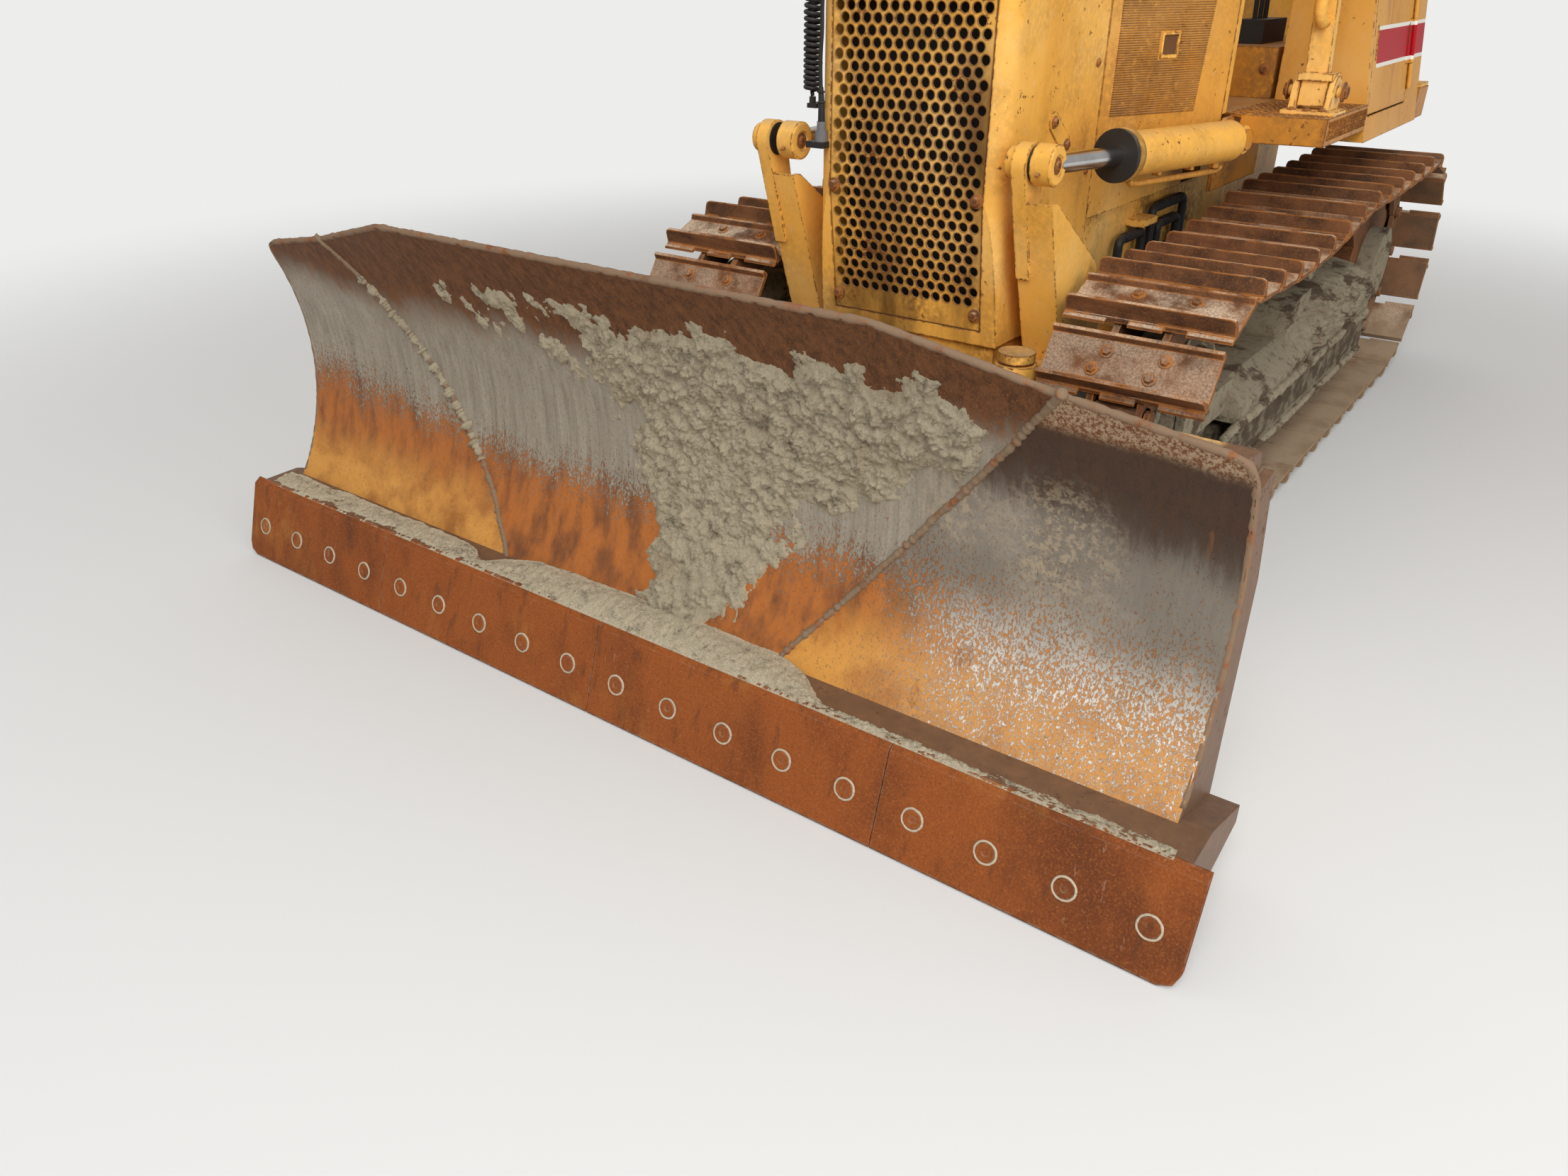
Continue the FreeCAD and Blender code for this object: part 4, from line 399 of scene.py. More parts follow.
rust_plate = edge_rust()
rim_steel = edge_rust("rim_steel", 0.9)
track_steel = track_rust("track_steel", 0.8)
chain_steel = track_rust("chain_steel", 0.25)
bolt_steel = track_rust("bolt_steel", 0.5)
seam_crust = edge_rust("seam_crust", 1.0)
mud = dried_mud("mud")
caked = dried_mud("caked", 0.1, 0.5, 0.72)
grit = dried_mud("grit", 0.35, 0.0, 1.12)
pale_grit = plain("pale_grit", rgb(0.52, 0.42, 0.30), 0.95, 0.0, 300, 0.001, 0.5)
chrome = plain("chrome", rgb(0.62, 0.61, 0.60), 0.16, 1.0, 300, 0.00005, 0.35)
dark_metal = plain("dark_metal", rgb(0.030, 0.028, 0.027), 0.5, 0.3, dusty=0.35)
# Brown that stands in for the shade inside a recess
recess_shade = plain("recess_shade", rgb(0.14, 0.060, 0.020), 0.8)
core_black = plain("core_black", rgb(0.010, 0.009, 0.008), 0.8)
rubber = plain("rubber", rgb(0.016, 0.016, 0.017), 0.5, dusty=0.2)
plug_grey = plain("plug_grey", rgb(0.17, 0.17, 0.18), 0.5, dusty=0.4)
vinyl = plain("vinyl", rgb(0.020, 0.022, 0.020), 0.45, 0.0, 420, 0.0006, dusty=0.3)
lens_glass = plain("lens_glass", rgb(0.70, 0.71, 0.72), 0.08, 0.0, 60, 0.0005, 0.1)

NODE_MATERIALS = (
    (rust_plate, ("cutting_edges",)), (paint_dirty, ("angle_yoke", "c_frame", "main_frame", "drawbar")),
    (paint_frame, ("blade_frame",)), (caked, ("track_frames", "track_rollers", "final_drives", "idlers")),
    (chain_steel, ("sprockets",)), (track_steel, ("track_left", "track_right")),
    (paint_guard, ("radiator_guard",)), (paint_grille, ("front_grille",)),
    (paint_deck, ("platform", "seat_riser")), (paint_panel, ("engine_panels",)),
    (paint_box, ("side_boxes", "box_door_left", "box_door_right")), (core_black, ("engine",)),
    (dark_metal, ("hood_stacks", "control_levers", "cable_fittings")), (vinyl, ("seat",)),
    (rubber, ("hydraulic_hoses", "cable_lead", "cable_coil")), (plug_grey, ("cable_plug",)),
)
MATERIAL_OF = {name: material for material, group in NODE_MATERIALS for name in group}


def dress(obj, material):
    obj.data.materials.clear()
    obj.data.materials.append(material)


def dress_faces(name, material, test):
    """A second material on those faces of a CAD node that pass the test."""
    mesh = nodes[name].data
    mesh.materials.append(material)
    index = len(mesh.materials) - 1
    for face in mesh.polygons:
        if test(face):
            face.material_index = index


def reaches(face, mesh, point):
    """Distance from a point to a face's furthest corner."""
    return max((mesh.vertices[i].co - point).length for i in face.vertices)


for node_name, node_object in nodes.items():
    dress(node_object, MATERIAL_OF.get(node_name, paint))

LIFT_ROOTS = {"left": at(0.560, 2.035, 1.037), "right": at(-0.560, 2.035, 1.037)}
LIFT_EYES = {"left": at(0.400, 1.072, 1.064), "right": at(-0.368, 1.072, 1.064)}
ANGLE_EYES = {"left": at(0.420, 0.300, 0.530), "right": at(-0.420, 0.300, 0.530)}
TILT_EYE = at(0.550, 0.095, 0.720)
TILT_EYE_R = 0.045
LIFT_EYE_R = 0.058
ANGLE_EYE_R = 0.056
GLAND_FROM = 0.629


def dress_cylinders():
    """Chrome on the rods, paint on their eyes, and a black gland at each lift barrel's mouth."""
    rods = [("tilt_rod", TILT_EYE, TILT_EYE_R)]
    rods += [("lift_rod_" + side, eye, LIFT_EYE_R) for side, eye in LIFT_EYES.items()]
    rods += [("angle_rod_" + side, eye, ANGLE_EYE_R) for side, eye in ANGLE_EYES.items()]
    for name, eye, size in rods:
        mesh = nodes[name].data
        dress(nodes[name], chrome)
        dress_faces(name, paint, lambda face: reaches(face, mesh, eye) < size)
    for side, root in LIFT_ROOTS.items():
        along = (LIFT_EYES[side] - root).normalized()
        mouth = (root + along * GLAND_FROM).dot(along)
        dress_faces("lift_barrel_" + side, dark_metal, lambda face: face.center.dot(along) > mouth)


CLAMP_LOW = at(0.270, 1.985, 0.758)
CLAMP_HIGH = at(0.338, 2.115, 0.788)


def in_clamp(face, mesh):
    """Whether a face lies inside the box of the hoses' painted clamp."""
    corners = [mesh.vertices[i].co for i in face.vertices]
    return all(CLAMP_LOW[k] < corner[k] < CLAMP_HIGH[k] for corner in corners for k in range(3))


dress_cylinders()
dress(nodes["moldboard"], steel)
dress_faces("moldboard", rim_steel, lambda face: abs(face.normal.x) > 0.8 or face.normal.z > 0.6)
dress_faces("moldboard", paint_dirty, lambda face: face.normal.y > 0.3)
dress_faces("hydraulic_hoses", paint, lambda face: in_clamp(face, nodes["hydraulic_hoses"].data))
dress_faces("work_lamps", lens_glass, lambda face: abs(face.normal.y) > 0.9)


# Shapes

def mount(name, mesh, material, body):
    """A mesh as a piece that rides on a body."""
    obj = add_object(name, mesh)
    mesh.materials.append(material)
    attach(obj, body)
    return obj


def piece(name, points, faces, material, body, smooth=False):
    """Points and faces as a piece that rides on a body."""
    mesh = bpy.data.meshes.new(name)
    mesh.from_pydata([tuple(p) for p in points], [], faces)
    mesh.validate()
    if smooth:
        mesh.shade_smooth()
    return mount(name, mesh, material, body)


class Shape:
    """Points and faces gathered into one mesh."""

    def __init__(self):
        self.points = []
        self.faces = []

    def loft(self, rings):
        """Walls through rings of equal length, with both ends closed."""
        n = len(rings[0])
        first = len(self.points)
        last = first + n * (len(rings) - 1)
        for ring in rings:
            self.points += ring
        for start in range(first, last, n):
            for a, b in zip(range(start, start + n), (*range(start + 1, start + n), start)):
                self.faces.append((a, b, b + n, a + n))
        self.faces.append(tuple(reversed(range(first, first + n))))
        self.faces.append(tuple(range(last, last + n)))

    def prism(self, ring, offset):
        """A closed ring of points swept by an offset."""
        self.loft([ring, [p + Vector(offset) for p in ring]])

    def lathe(self, start, axis, profile, sides=20):
        """A turned form: the profile gives (distance along the axis, radius)."""
        axis = Vector(axis).normalized()
        side = axis.orthogonal().normalized()
        other = axis.cross(side)
        rings = []
        for along, radius in profile:
            rings.append([start + axis * along + (side * math.cos(a) + other * math.sin(a)) * radius
                          for a in full_turn(sides)])
        self.loft(rings)

    def bolt(self, foot, axis, across, tall, washer=True):
        """Hexagon head, across its flats and so tall, on a round washer."""
        if washer:
            rim = across * 0.85
            self.lathe(foot, axis, [(-0.001, rim), (0.003, rim), (0.0035, across * 0.8)], 18)
        r = across * 0.577
        self.lathe(foot, axis, [(0.001, r), (tall - 0.002, r), (tall, r * 0.82)], 6)

    def tube(self, path, radius, sides=12):
        """A round tube along points; its radius is a number or follows from the share of the run."""
        rings = []
        up = None
        last = len(path) - 1
        for i, point in enumerate(path):
            ahead = (path[min(i + 1, last)] - path[max(i - 1, 0)]).normalized()
            up = ahead.orthogonal().normalized() if up is None else (up - ahead * up.dot(ahead)).normalized()
            side = ahead.cross(up)
            size = radius(i / last) if callable(radius) else radius
            rings.append([point + (up * math.cos(a) + side * math.sin(a)) * size for a in full_turn(sides)])
        self.loft(rings)

    def build(self, name, material, body, smooth=False):
        return piece(name, self.points, self.faces, material, body, smooth)


# The curly cable: up from its plug, over the hook, and down as a coil into its gland

CABLE_D = 0.011
CABLE_ROUTE = (
    (-0.2585, 1.0465, 1.122), (-0.2585, 1.0465, 1.167), (-0.266, 1.050, 1.224), (-0.265, 1.047, 1.284),
    (-0.261, 1.048, 1.344), (-0.264, 1.050, 1.404), (-0.259, 1.049, 1.466), (-0.254, 1.046, 1.522),
    (-0.276, 1.055, 1.545), (-0.306, 1.068, 1.545), (-0.328, 1.079, 1.522), (-0.325, 1.078, 1.490))
COIL_X = -0.305
COIL_Y = 1.070
COIL_FOOT = 1.182
COIL_START = 1.458
COIL_R = 0.0212
COIL_TURNS = 17
COIL_TIGHT = 0.0122
COIL_EASE = 0.022
COIL_LEAD_OUT = 0.012
TURN_POINTS = 12
LAST_POINTS_INWARD = 9
RELIEF_TOP = 1.216
RELIEF_RIB = 0.0112


def cable_points():
    """The listed route, then a coil whose turns lie closer towards its foot."""
    points = [at(*p) for p in CABLE_ROUTE]
    start_angle = math.atan2(CABLE_ROUTE[-1][1] - COIL_Y, CABLE_ROUTE[-1][0] - COIL_X)
    fall = COIL_START - COIL_EASE - COIL_FOOT - COIL_LEAD_OUT
    loose = 2 * fall / COIL_TURNS - COIL_TIGHT
    last = COIL_TURNS * TURN_POINTS
    for i in range(last + 1):
        turns = i / TURN_POINTS
        angle = start_angle + 2 * math.pi * turns
        drop = loose * turns - (loose - COIL_TIGHT) / (2 * COIL_TURNS) * turns ** 2
        drop += COIL_EASE * (1 - math.exp(-turns / 0.4))
        inward = max(0.0, 1 - (last - i) / LAST_POINTS_INWARD)
        r = COIL_R * (1 - 0.8 * inward) * (1 + 0.03 * math.sin(turns * 2.3))
        points.append(at(COIL_X + r * math.cos(angle), COIL_Y + r * math.sin(angle), COIL_START - drop))
    points.append(at(COIL_X, COIL_Y, COIL_FOOT))
    return points


def cable_relief(centre):
    """Ribbed boot on the cable's first stretch, above its plug."""
    low_end = [p for p in centre[:60] if p.z < RELIEF_TOP]
    relief = Shape()
    relief.tube(low_end, lambda t: 0.0098 - 0.0028 * t, 14)
    for i, point in enumerate(low_end[3:-1:2]):
        rib = RELIEF_RIB - 0.0002 * i
        relief.lathe(point - Vector((0, 0, 0.0025)), (0, 0, 1), [(0, 0.0085), (0.001, rib), (0.004, rib),
                                                                 (0.005, 0.0085)], 14)
    return relief.build("cable_relief", rubber, "chassis")


def curly_cable():
    curve = bpy.data.curves.new("curly_cable", "CURVE")
    curve.dimensions = "3D"
    points = cable_points()
    spline = curve.splines.new("NURBS")
    spline.points.add(len(points) - 1)
    for target, point in zip(spline.points, points):
        target.co = (*point, 1.0)
    spline.order_u = 3
    spline.use_endpoint_u = True
    spline.resolution_u = 5
    cord = add_object("curly_cable", curve)
    line = bpy.data.meshes.new_from_object(cord)
    centre = [v.co.copy() for v in line.vertices]
    bpy.data.meshes.remove(line)
    curve.bevel_depth = CABLE_D / 2
    curve.bevel_resolution = 3
    curve.use_fill_caps = True
    curve.materials.append(rubber)
    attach(cord, "chassis")
    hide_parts("cable_lead", "cable_coil")
    boot = cable_relief(centre)


curly_cable()


# Blade surface

MOLD_R = 0.628
MOLD_Y = -0.590
MOLD_Z = 0.560
MOLD_HALF = 1.272
EDGE_HALF = 1.300


def mold_point(x, z, out=0.0):
    """A point on the moldboard's face, or that far ahead of it."""
    angle = math.asin((z - MOLD_Z) / MOLD_R)
    r = MOLD_R - out
    return at(x, MOLD_Y + r * math.cos(angle), MOLD_Z + r * math.sin(angle))


def seam_x(z):
    """Half distance between the two diagonal seams at a height."""
    return SEAM_HALF + SEAM_SLOPE * (z - SEAM_FOOT)


MUD_OUTLINE = ((-0.56, 0.83), (-0.30, 0.89), (0.08, 0.845), (0.24, 0.88), (0.55, 0.845), (0.73, 0.86),
               (0.82, 0.80), (0.72, 0.66), (0.48, 0.56), (0.37, 0.46), (0.30, 0.31), (0.20, 0.22),
               (0.05, 0.22), (0.00, 0.43), (-0.10, 0.64), (-0.30, 0.69), (-0.51, 0.74))
MUD_THICK = 0.019
NO_MUD = -0.01
MUD_SHOWS_FROM = -0.0015
MUD_SUNK = -0.004


def outline_depth(xs, zs, outline):
    """Distance to a closed outline over a grid, positive inside it."""
    x, z = np.meshgrid(xs, zs, indexing="ij")
    near = np.full(x.shape, 9.0)
    inside = np.zeros(x.shape, bool)
    for (x0, z0), (x1, z1) in zip(outline, outline[1:] + outline[:1]):
        run_x, run_z = x1 - x0, z1 - z0
        t = np.clip(((x - x0) * run_x + (z - z0) * run_z) / (run_x ** 2 + run_z ** 2), 0, 1)
        near = np.minimum(near, np.hypot(x0 + run_x * t - x, z0 + run_z * t - z))
        if run_z:
            inside ^= ((z0 > z) != (z1 > z)) & (x < run_x * (z - z0) / run_z + x0)
    return np.where(inside, near, -near)


def clods(p, scale, seed):
    """Relief of broken soil: clods, crumbs on the clods, and a crusty grain."""
    large = 0.50 - noise.voronoi(p * scale + seed)[0][0]
    small = 0.48 - noise.voronoi(p * scale * 2.7 + seed)[0][0]
    tiny = 0.46 - noise.voronoi(p * scale * 6.1 + seed)[0][0]
    crust = noise.fractal(p * scale * 1.3, 0.6, 2.3, 6)
    return large * 0.8 + small * 0.5 + tiny * 0.28 + crust * 0.42


def clod_height(x, z, depth):
    """Thickness of the mud that sticks to the moldboard, negative where there is none."""
    p = Vector((x, z, 0))
    ragged = noise.fractal(p * 11, 0.75, 2.1, 6) * 0.060
    body = (depth + ragged) / 0.05
    if body < -0.3:
        return NO_MUD
    thick = 0.10 + 0.90 * ease(x + 0.35 * noise.noise(p * 5), -0.20, 0.06)
    patchy = 0.40 * (1 - thick) * (noise.fractal(p * 9 + Vector((4, 4, 0)), 0.7, 2.1, 5) - 0.22)
    height = min(1.0, body) * MUD_THICK * thick + patchy * 0.05
    return height + clods(p, 24, Vector((3, 1, 0))) * 0.021 * min(1.0, max(0.2, body)) * (0.45 + 0.55 * thick)


def sheet_of(columns, rows, points, keep=None):
    """Grid faces over points given column by column, less those whose corners are all left out."""
    faces = []
    for i in range(columns):
        for j in range(rows):
            first = i * (rows + 1) + j
            face = (first, first + rows + 1, first + rows + 2, first + 1)
            if keep is None or any(keep[k] for k in face):
                faces.append(face)
    used = sorted({k for face in faces for k in face})
    new = {k: n for n, k in enumerate(used)}
    return [points[k] for k in used], [tuple(new[k] for k in face) for face in faces]


def mud_clods():
    """The soil stuck to the moldboard, left of its middle and across it."""
    columns, rows = 560, 262
    xs = np.linspace(-0.64, 0.90, columns + 1)
    zs = np.linspace(0.215, 0.935, rows + 1)
    depth = outline_depth(xs, zs, MUD_OUTLINE)
    points = []
    keep = []
    for i, x in enumerate(xs):
        for j, z in enumerate(zs):
            height = clod_height(x, z, depth[i, j]) if depth[i, j] > -0.08 else NO_MUD
            keep.append(height > MUD_SHOWS_FROM)
            points.append(mold_point(x, z, max(height, MUD_SUNK)))
    return piece("mud_clods", *sheet_of(columns, rows, points, keep), mud, "blade", True)


LEDGE_FRONT_Y = -0.1535
LEDGE_FRONT_Z = 0.2090
LEDGE_BACK_Y = -0.124
LEDGE_BACK_Z = 0.208


def dirt_ledge():
    """Gritty soil on the cutting edge's top: a thin strip, heaped back to the moldboard in the middle."""
    columns, rows = 900, 14
    points = []
    for i in range(columns + 1):
        x = -EDGE_HALF + 2 * EDGE_HALF * i / columns
        middle = ease(x, -0.50, -0.25) * ease(-x, -0.60, -0.42)
        full = max(middle, 0.6 * ease(-x, 0.40, 0.55))
        heap = 0.006 + 0.015 * math.exp(-((x - 0.12) / 0.34) ** 2)
        back_y = LEDGE_BACK_Y + 0.068 * full + 0.010 * crumble(x * 9, 2.5, 0)
        back_z = LEDGE_BACK_Z + 0.022 * full
        for j in range(rows + 1):
            v = j / rows
            p = Vector((x, v * 0.1, 0))
            bow = math.sin(math.pi * min(0.97, v * 1.05)) ** 0.7
            grains = noise.fractal(p * 16, 0.7, 2.1, 5) * 0.006 + noise.fractal(p * 80, 0.7, 2.1, 4) * 0.006
            y = LEDGE_FRONT_Y + (back_y - LEDGE_FRONT_Y) * v
            z = LEDGE_FRONT_Z + (back_z - LEDGE_FRONT_Z) * v ** 1.5
            points.append(at(x, y, z + (heap + grains) * bow - 0.002))
    return piece("dirt_ledge", *sheet_of(columns, rows, points), grit, "blade", True)


def seam_path(sign, low, high, sway, scale, row):
    """Points along a diagonal seam, just under the face, wandering by the sway."""
    steps = 260
    path = []
    for i in range(steps):
        z = low + (high - low) * i / (steps - 1)
        x = sign * seam_x(z) + sway * noise.noise(Vector((z * scale, row, 0)))
        path.append(mold_point(x, z, -0.002))
    return path


def weld_beads():
    """Diagonal seams between the moldboard's middle and its wings, and the soil caught in the right one."""
    for name, sign in SIDES:
        bead = Shape()
        path = seam_path(sign, 0.205, 0.915, 0.006, 16, sign)
        bead.tube(path, lambda t: 0.0078 + 0.0042 * crumble(t * 90, sign * 5, 0), 10)
        bead.build("weld_bead_" + name, seam_crust, "blade", True)
    crust = Shape()
    path = seam_path(-1, 0.40, 0.82, 0.010, 24, 4)
    crust.tube(path, lambda t: 0.004 + 0.016 * (0.5 + crumble(t * 30, 9, 0, 5)))
    crust.build("seam_mud", mud, "blade", True)


# Left half of the moldboard's edge seen from ahead, from its foot up and inwards
RIM_HALF = ((MOLD_HALF, 0.225), (MOLD_HALF, 0.82), (1.260, 0.848), (1.23, 0.860), (0.969, 0.904),
            (0.65, 0.978))


def blade_rim():
    """Thick worn edge along the moldboard's top and ends."""
    outline = [(-x, z) for x, z in RIM_HALF] + list(reversed(RIM_HALF))
    path = []
    for a, b in zip(outline, outline[1:]):
        steps = max(2, int(math.dist(a, b) / 0.010))
        for i in range(steps):
            t = i / steps
            path.append(mold_point(a[0] + (b[0] - a[0]) * t, a[1] + (b[1] - a[1]) * t, -0.006))
    shape = Shape()
    shape.tube(path, lambda t: 0.0070 + 0.0020 * crumble(t * 190, 0, 3, 3), 10)
    return shape.build("blade_rim", rim_steel, "blade", True)


EDGE_LEAN = math.radians(17.3)
EDGE_OUT = Vector((0, -math.cos(EDGE_LEAN), math.sin(EDGE_LEAN)))
EDGE_UP = Vector((0, math.sin(EDGE_LEAN), math.cos(EDGE_LEAN)))
EDGE_BOLTS = 18
EDGE_BOLT_STEP = 0.1524
EDGE_BOLT_Y = -0.1995
EDGE_BOLT_Z = 0.092
RING_R = 0.0215


def bolt_rings():
    """Flush bolt heads of the cutting edges, each in a pale gritty ring."""
    ring = Shape()
    head = Shape()
    for k in range(EDGE_BOLTS):
        centre = at((k - (EDGE_BOLTS - 1) / 2) * EDGE_BOLT_STEP, EDGE_BOLT_Y, EDGE_BOLT_Z)
        head.lathe(centre, EDGE_OUT, [(-0.002, 0.0190), (0.0016, 0.0190), (0.0022, 0.0178), (0.0022, 0.007),
                                      (0.0006, 0.006)], 28)
        path = []
        for i in range(49):
            a = 2 * math.pi * i / 48
            r = RING_R + 0.0008 * noise.noise(Vector((math.cos(a) * 2, math.sin(a) * 2, k)))
            path.append(centre + Vector((math.cos(a) * r, 0, 0)) + EDGE_UP * (math.sin(a) * r))
        ring.tube(path, lambda t: 0.0026 + 0.0007 * noise.noise(Vector((t * 20, k, 0))), 6)
    ring.build("bolt_rings", pale_grit, "blade", True)
    return head.build("edge_bolt_heads", rust_plate, "blade")


# Track shoes on the same pin line as the CAD's

SHOES = 37
PIN_LINE = 0.105
IDLER_Y = 1.310
IDLER_R = 0.303
SPROCKET_Y = 3.500
SPROCKET_R = 0.331
CARRIER_Y = 2.420
TRACK_X = 0.687
SHOE_HALF = 0.219
FIRST_SHOE = 0.2


def half_turn(y, r, start, steps):
    """Points half way round a wheel that stands on the pin line."""
    points = []
    for i in range(steps):
        a = start + math.pi * i / steps
        points.append((y + r * math.cos(a), PIN_LINE + r + r * math.sin(a)))
    return points


def track_path():
    """The pins' loop: round the idler, along the ground, round the sprocket, and back over the carrier."""
    steps = 24
    idler_top = PIN_LINE + 2 * IDLER_R
    sprocket_top = PIN_LINE + 2 * SPROCKET_R
    carrier_z = idler_top + (sprocket_top - idler_top) * 0.8
    points = half_turn(IDLER_Y, IDLER_R, math.pi / 2, steps)
    for i in range(steps):
        points.append((IDLER_Y + (SPROCKET_Y - IDLER_Y) * i / steps, PIN_LINE))
    points += half_turn(SPROCKET_Y, SPROCKET_R, -math.pi / 2, steps)
    spans = ((SPROCKET_Y, sprocket_top, CARRIER_Y, carrier_z, 0.008),
             (CARRIER_Y, carrier_z, IDLER_Y, idler_top, 0.041))
    for y0, z0, y1, z1, sag in spans:
        for i in range(steps):
            t = i / steps
            points.append((y0 + (y1 - y0) * t, z0 + (z1 - z0) * t - 4 * sag * t * (1 - t)))
    return points


def track_pins():
    """Pins at equal steps along the path, found with running lengths."""
    loop = track_path()
    loop.append(loop[0])
    reach = [0.0]
    for a, b in zip(loop, loop[1:]):
        reach.append(reach[-1] + math.dist(a, b))
    pins = []
    for k in range(SHOES):
        goal = (k + FIRST_SHOE) * reach[-1] / SHOES
        i = bisect.bisect(reach, goal) - 1
        t = (goal - reach[i]) / (reach[i + 1] - reach[i])
        (y0, z0), (y1, z1) = loop[i], loop[i + 1]
        pins.append((y0 + (y1 - y0) * t, z0 + (z1 - z0) * t))
    return pins


# A shoe's heights above the pin line, and where its links' outer edges run
SHOE_BASE = 0.050
SHOE_TOP = 0.062
GROUSER_TIP = 0.105
GROUSER_BEND = 0.014
LINK_X = 0.075
LINK_THICK = 0.018


def shoe_into(shape, bolts, links, mid, along, out, centre_x, h):
    """One shoe with its lip, round-ended grouser, notched front flange, bolts and pair of links."""
    def spot(x, t, n):
        return at(centre_x + x, mid[0] + along[0] * t + out[0] * n, mid[1] + along[1] * t + out[1] * n)

    base, top, tip, bend, half = SHOE_BASE, SHOE_TOP, GROUSER_TIP, GROUSER_BEND, SHOE_HALF
    plate = [(-h - 0.004, base + 0.004), (-h - 0.006, top + 0.014), (-h + 0.003, top + 0.015),
             (-h + 0.012, top + 0.002), (0.031, top), (0.059, top), (0.064, base)]
    shape.prism([spot(-half, t, n) for t, n in plate], spot(half, 0, 0) - spot(-half, 0, 0))
    side = [(half, top - 0.002), (half, tip - bend), (half - bend * 0.3, tip - bend * 0.3),
            (half - bend, tip)]
    grouser = [(-x, n) for x, n in side] + list(reversed(side))
    outer = [spot(x, 0.0405 - (0.005 if n < tip - bend else 0.0), n) for x, n in grouser]
    inner = [spot(x, 0.0510 + (0.005 if n < tip - bend else 0.0), n) for x, n in grouser]
    shape.loft([outer, inner])
    flange = [(0.058, base), (0.058, top - 0.003), (h - 0.012, top - 0.004), (h - 0.008, base + 0.002),
              (h - 0.010, base)]
    for x0, x1 in ((-half, -0.105), (-0.045, 0.045), (0.105, half)):
        shape.prism([spot(x0, t, n) for t, n in flange], spot(x1, 0, 0) - spot(x0, 0, 0))
    upward = spot(0, 0, 1) - spot(0, 0, 0)
    sideways = spot(1, 0, 0) - spot(0, 0, 0)
    rail = [(-h - 0.028, 0.0), (-h - 0.018, 0.026), (-h * 0.4, 0.048), (h * 0.5, 0.048), (h + 0.014, 0.030),
            (h + 0.030, 0.0), (h + 0.016, -0.030), (h * 0.4, -0.042), (-h * 0.4, -0.042),
            (-h - 0.018, -0.028)]
    for x in (-LINK_X, LINK_X):
        for t in (-0.045, 0.005):
            bolts.bolt(spot(x + (0.012 if t < 0 else -0.012), t, top), upward, 0.022, 0.012)
        shift = 0.0 if x < 0 else -LINK_THICK
        links.prism([spot(x + shift - LINK_THICK / 2, t, n) for t, n in rail], sideways * LINK_THICK)
    links.lathe(spot(-0.082, h, 0), sideways, [(0, 0.0), (0.001, 0.020), (0.163, 0.020), (0.164, 0.0)], 14)


def track_shoes(side, sign):
    pins = track_pins()
    shape, bolts, links = Shape(), Shape(), Shape()
    for a, b in zip(pins, pins[1:] + pins[:1]):
        run = (b[0] - a[0], b[1] - a[1])
        size = math.hypot(*run)
        along = (run[0] / size, run[1] / size)
        out = (along[1], -along[0])
        mid = ((a[0] + b[0]) / 2, (a[1] + b[1]) / 2)
        shoe_into(shape, bolts, links, mid, along, out, sign * TRACK_X, size / 2)
    shoes = shape.build("track_shoes_" + side, track_steel, "chassis")
    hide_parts("track_" + side)
    bolts.build("track_bolts_" + side, bolt_steel, "chassis")
    links.build("track_links_" + side, chain_steel, "chassis")


# Height and reach outward of the mud heaped on a track frame's rear half, under the track's top run
FRAME_MUD = ((0.352, 0.800), (0.372, 0.838), (0.420, 0.850), (0.480, 0.846), (0.530, 0.822), (0.565, 0.780),
             (0.580, 0.700))
FRAME_MUD_Y = (2.18, 3.10)
FRAME_MUD_ROOT = 0.76
FRAME_MUD_REACH = 0.872


def frame_mud(side, sign):
    """Soil heaped on a track frame behind its middle."""
    columns, rows = 230, 74
    y0, y1 = FRAME_MUD_Y
    foot = FRAME_MUD[0][0]
    points = []
    for i in range(columns + 1):
        u = i / columns
        y = y0 + (y1 - y0) * u
        ends = ease(u, 0.0, 0.30) * ease(1 - u, 0.0, 0.10)
        crest = ends * (0.75 + 0.25 * noise.noise(Vector((y * 5, 3, 0))))
        for j in range(rows + 1):
            place = (len(FRAME_MUD) - 1) * j / rows
            k = min(int(place), len(FRAME_MUD) - 2)
            (z_low, x_low), (z_high, x_high) = FRAME_MUD[k], FRAME_MUD[k + 1]
            z = foot + (z_low + (z_high - z_low) * (place - k) - foot) * (0.35 + 0.65 * crest)
            x = x_low + (x_high - x_low) * (place - k)
            lump = clods(Vector((y, z, sign * 3)), 17, Vector((7, 2, 1))) * 0.040 * min(1.0, ends * 2)
            x = FRAME_MUD_ROOT + (x - FRAME_MUD_ROOT + lump) * min(1.0, ends * 1.6)
            z += lump * 0.4 * math.sin(math.pi * j / rows)
            points.append(at(sign * min(x, FRAME_MUD_REACH), y, z))
    return piece("frame_mud_" + side, *sheet_of(columns, rows, points), caked, "chassis", True)


def frame_rails(side, sign):
    """Mud-caked edges along the top and the foot of a track frame's roller guard."""
    shape = Shape()
    steps = 420
    for z, x, size in ((0.338, 0.842, 0.0130), (0.196, 0.842, 0.0105)):
        path = []
        for i in range(steps):
            y = 1.43 + 1.68 * i / (steps - 1)
            sway = 0.004 * crumble(y * 6, z * 20, sign, 3)
            path.append(at(sign * (x + sway), y, z + sway))
        shape.tube(path, lambda t: size * (1 + 0.55 * crumble(t * 70, z * 9, 2, 5)), 10)
    return shape.build("frame_rails_" + side, caked, "chassis", True)


# Hood, towers and platform details

BOX_FACE_X = 0.793
BOX_FACE_LOW = 0.985
BOX_FACE_LEAN = 0.13
FINGER_SLOT_Y = (2.680, 2.698)
FINGER_SLOT_Z = (1.227, 1.323)


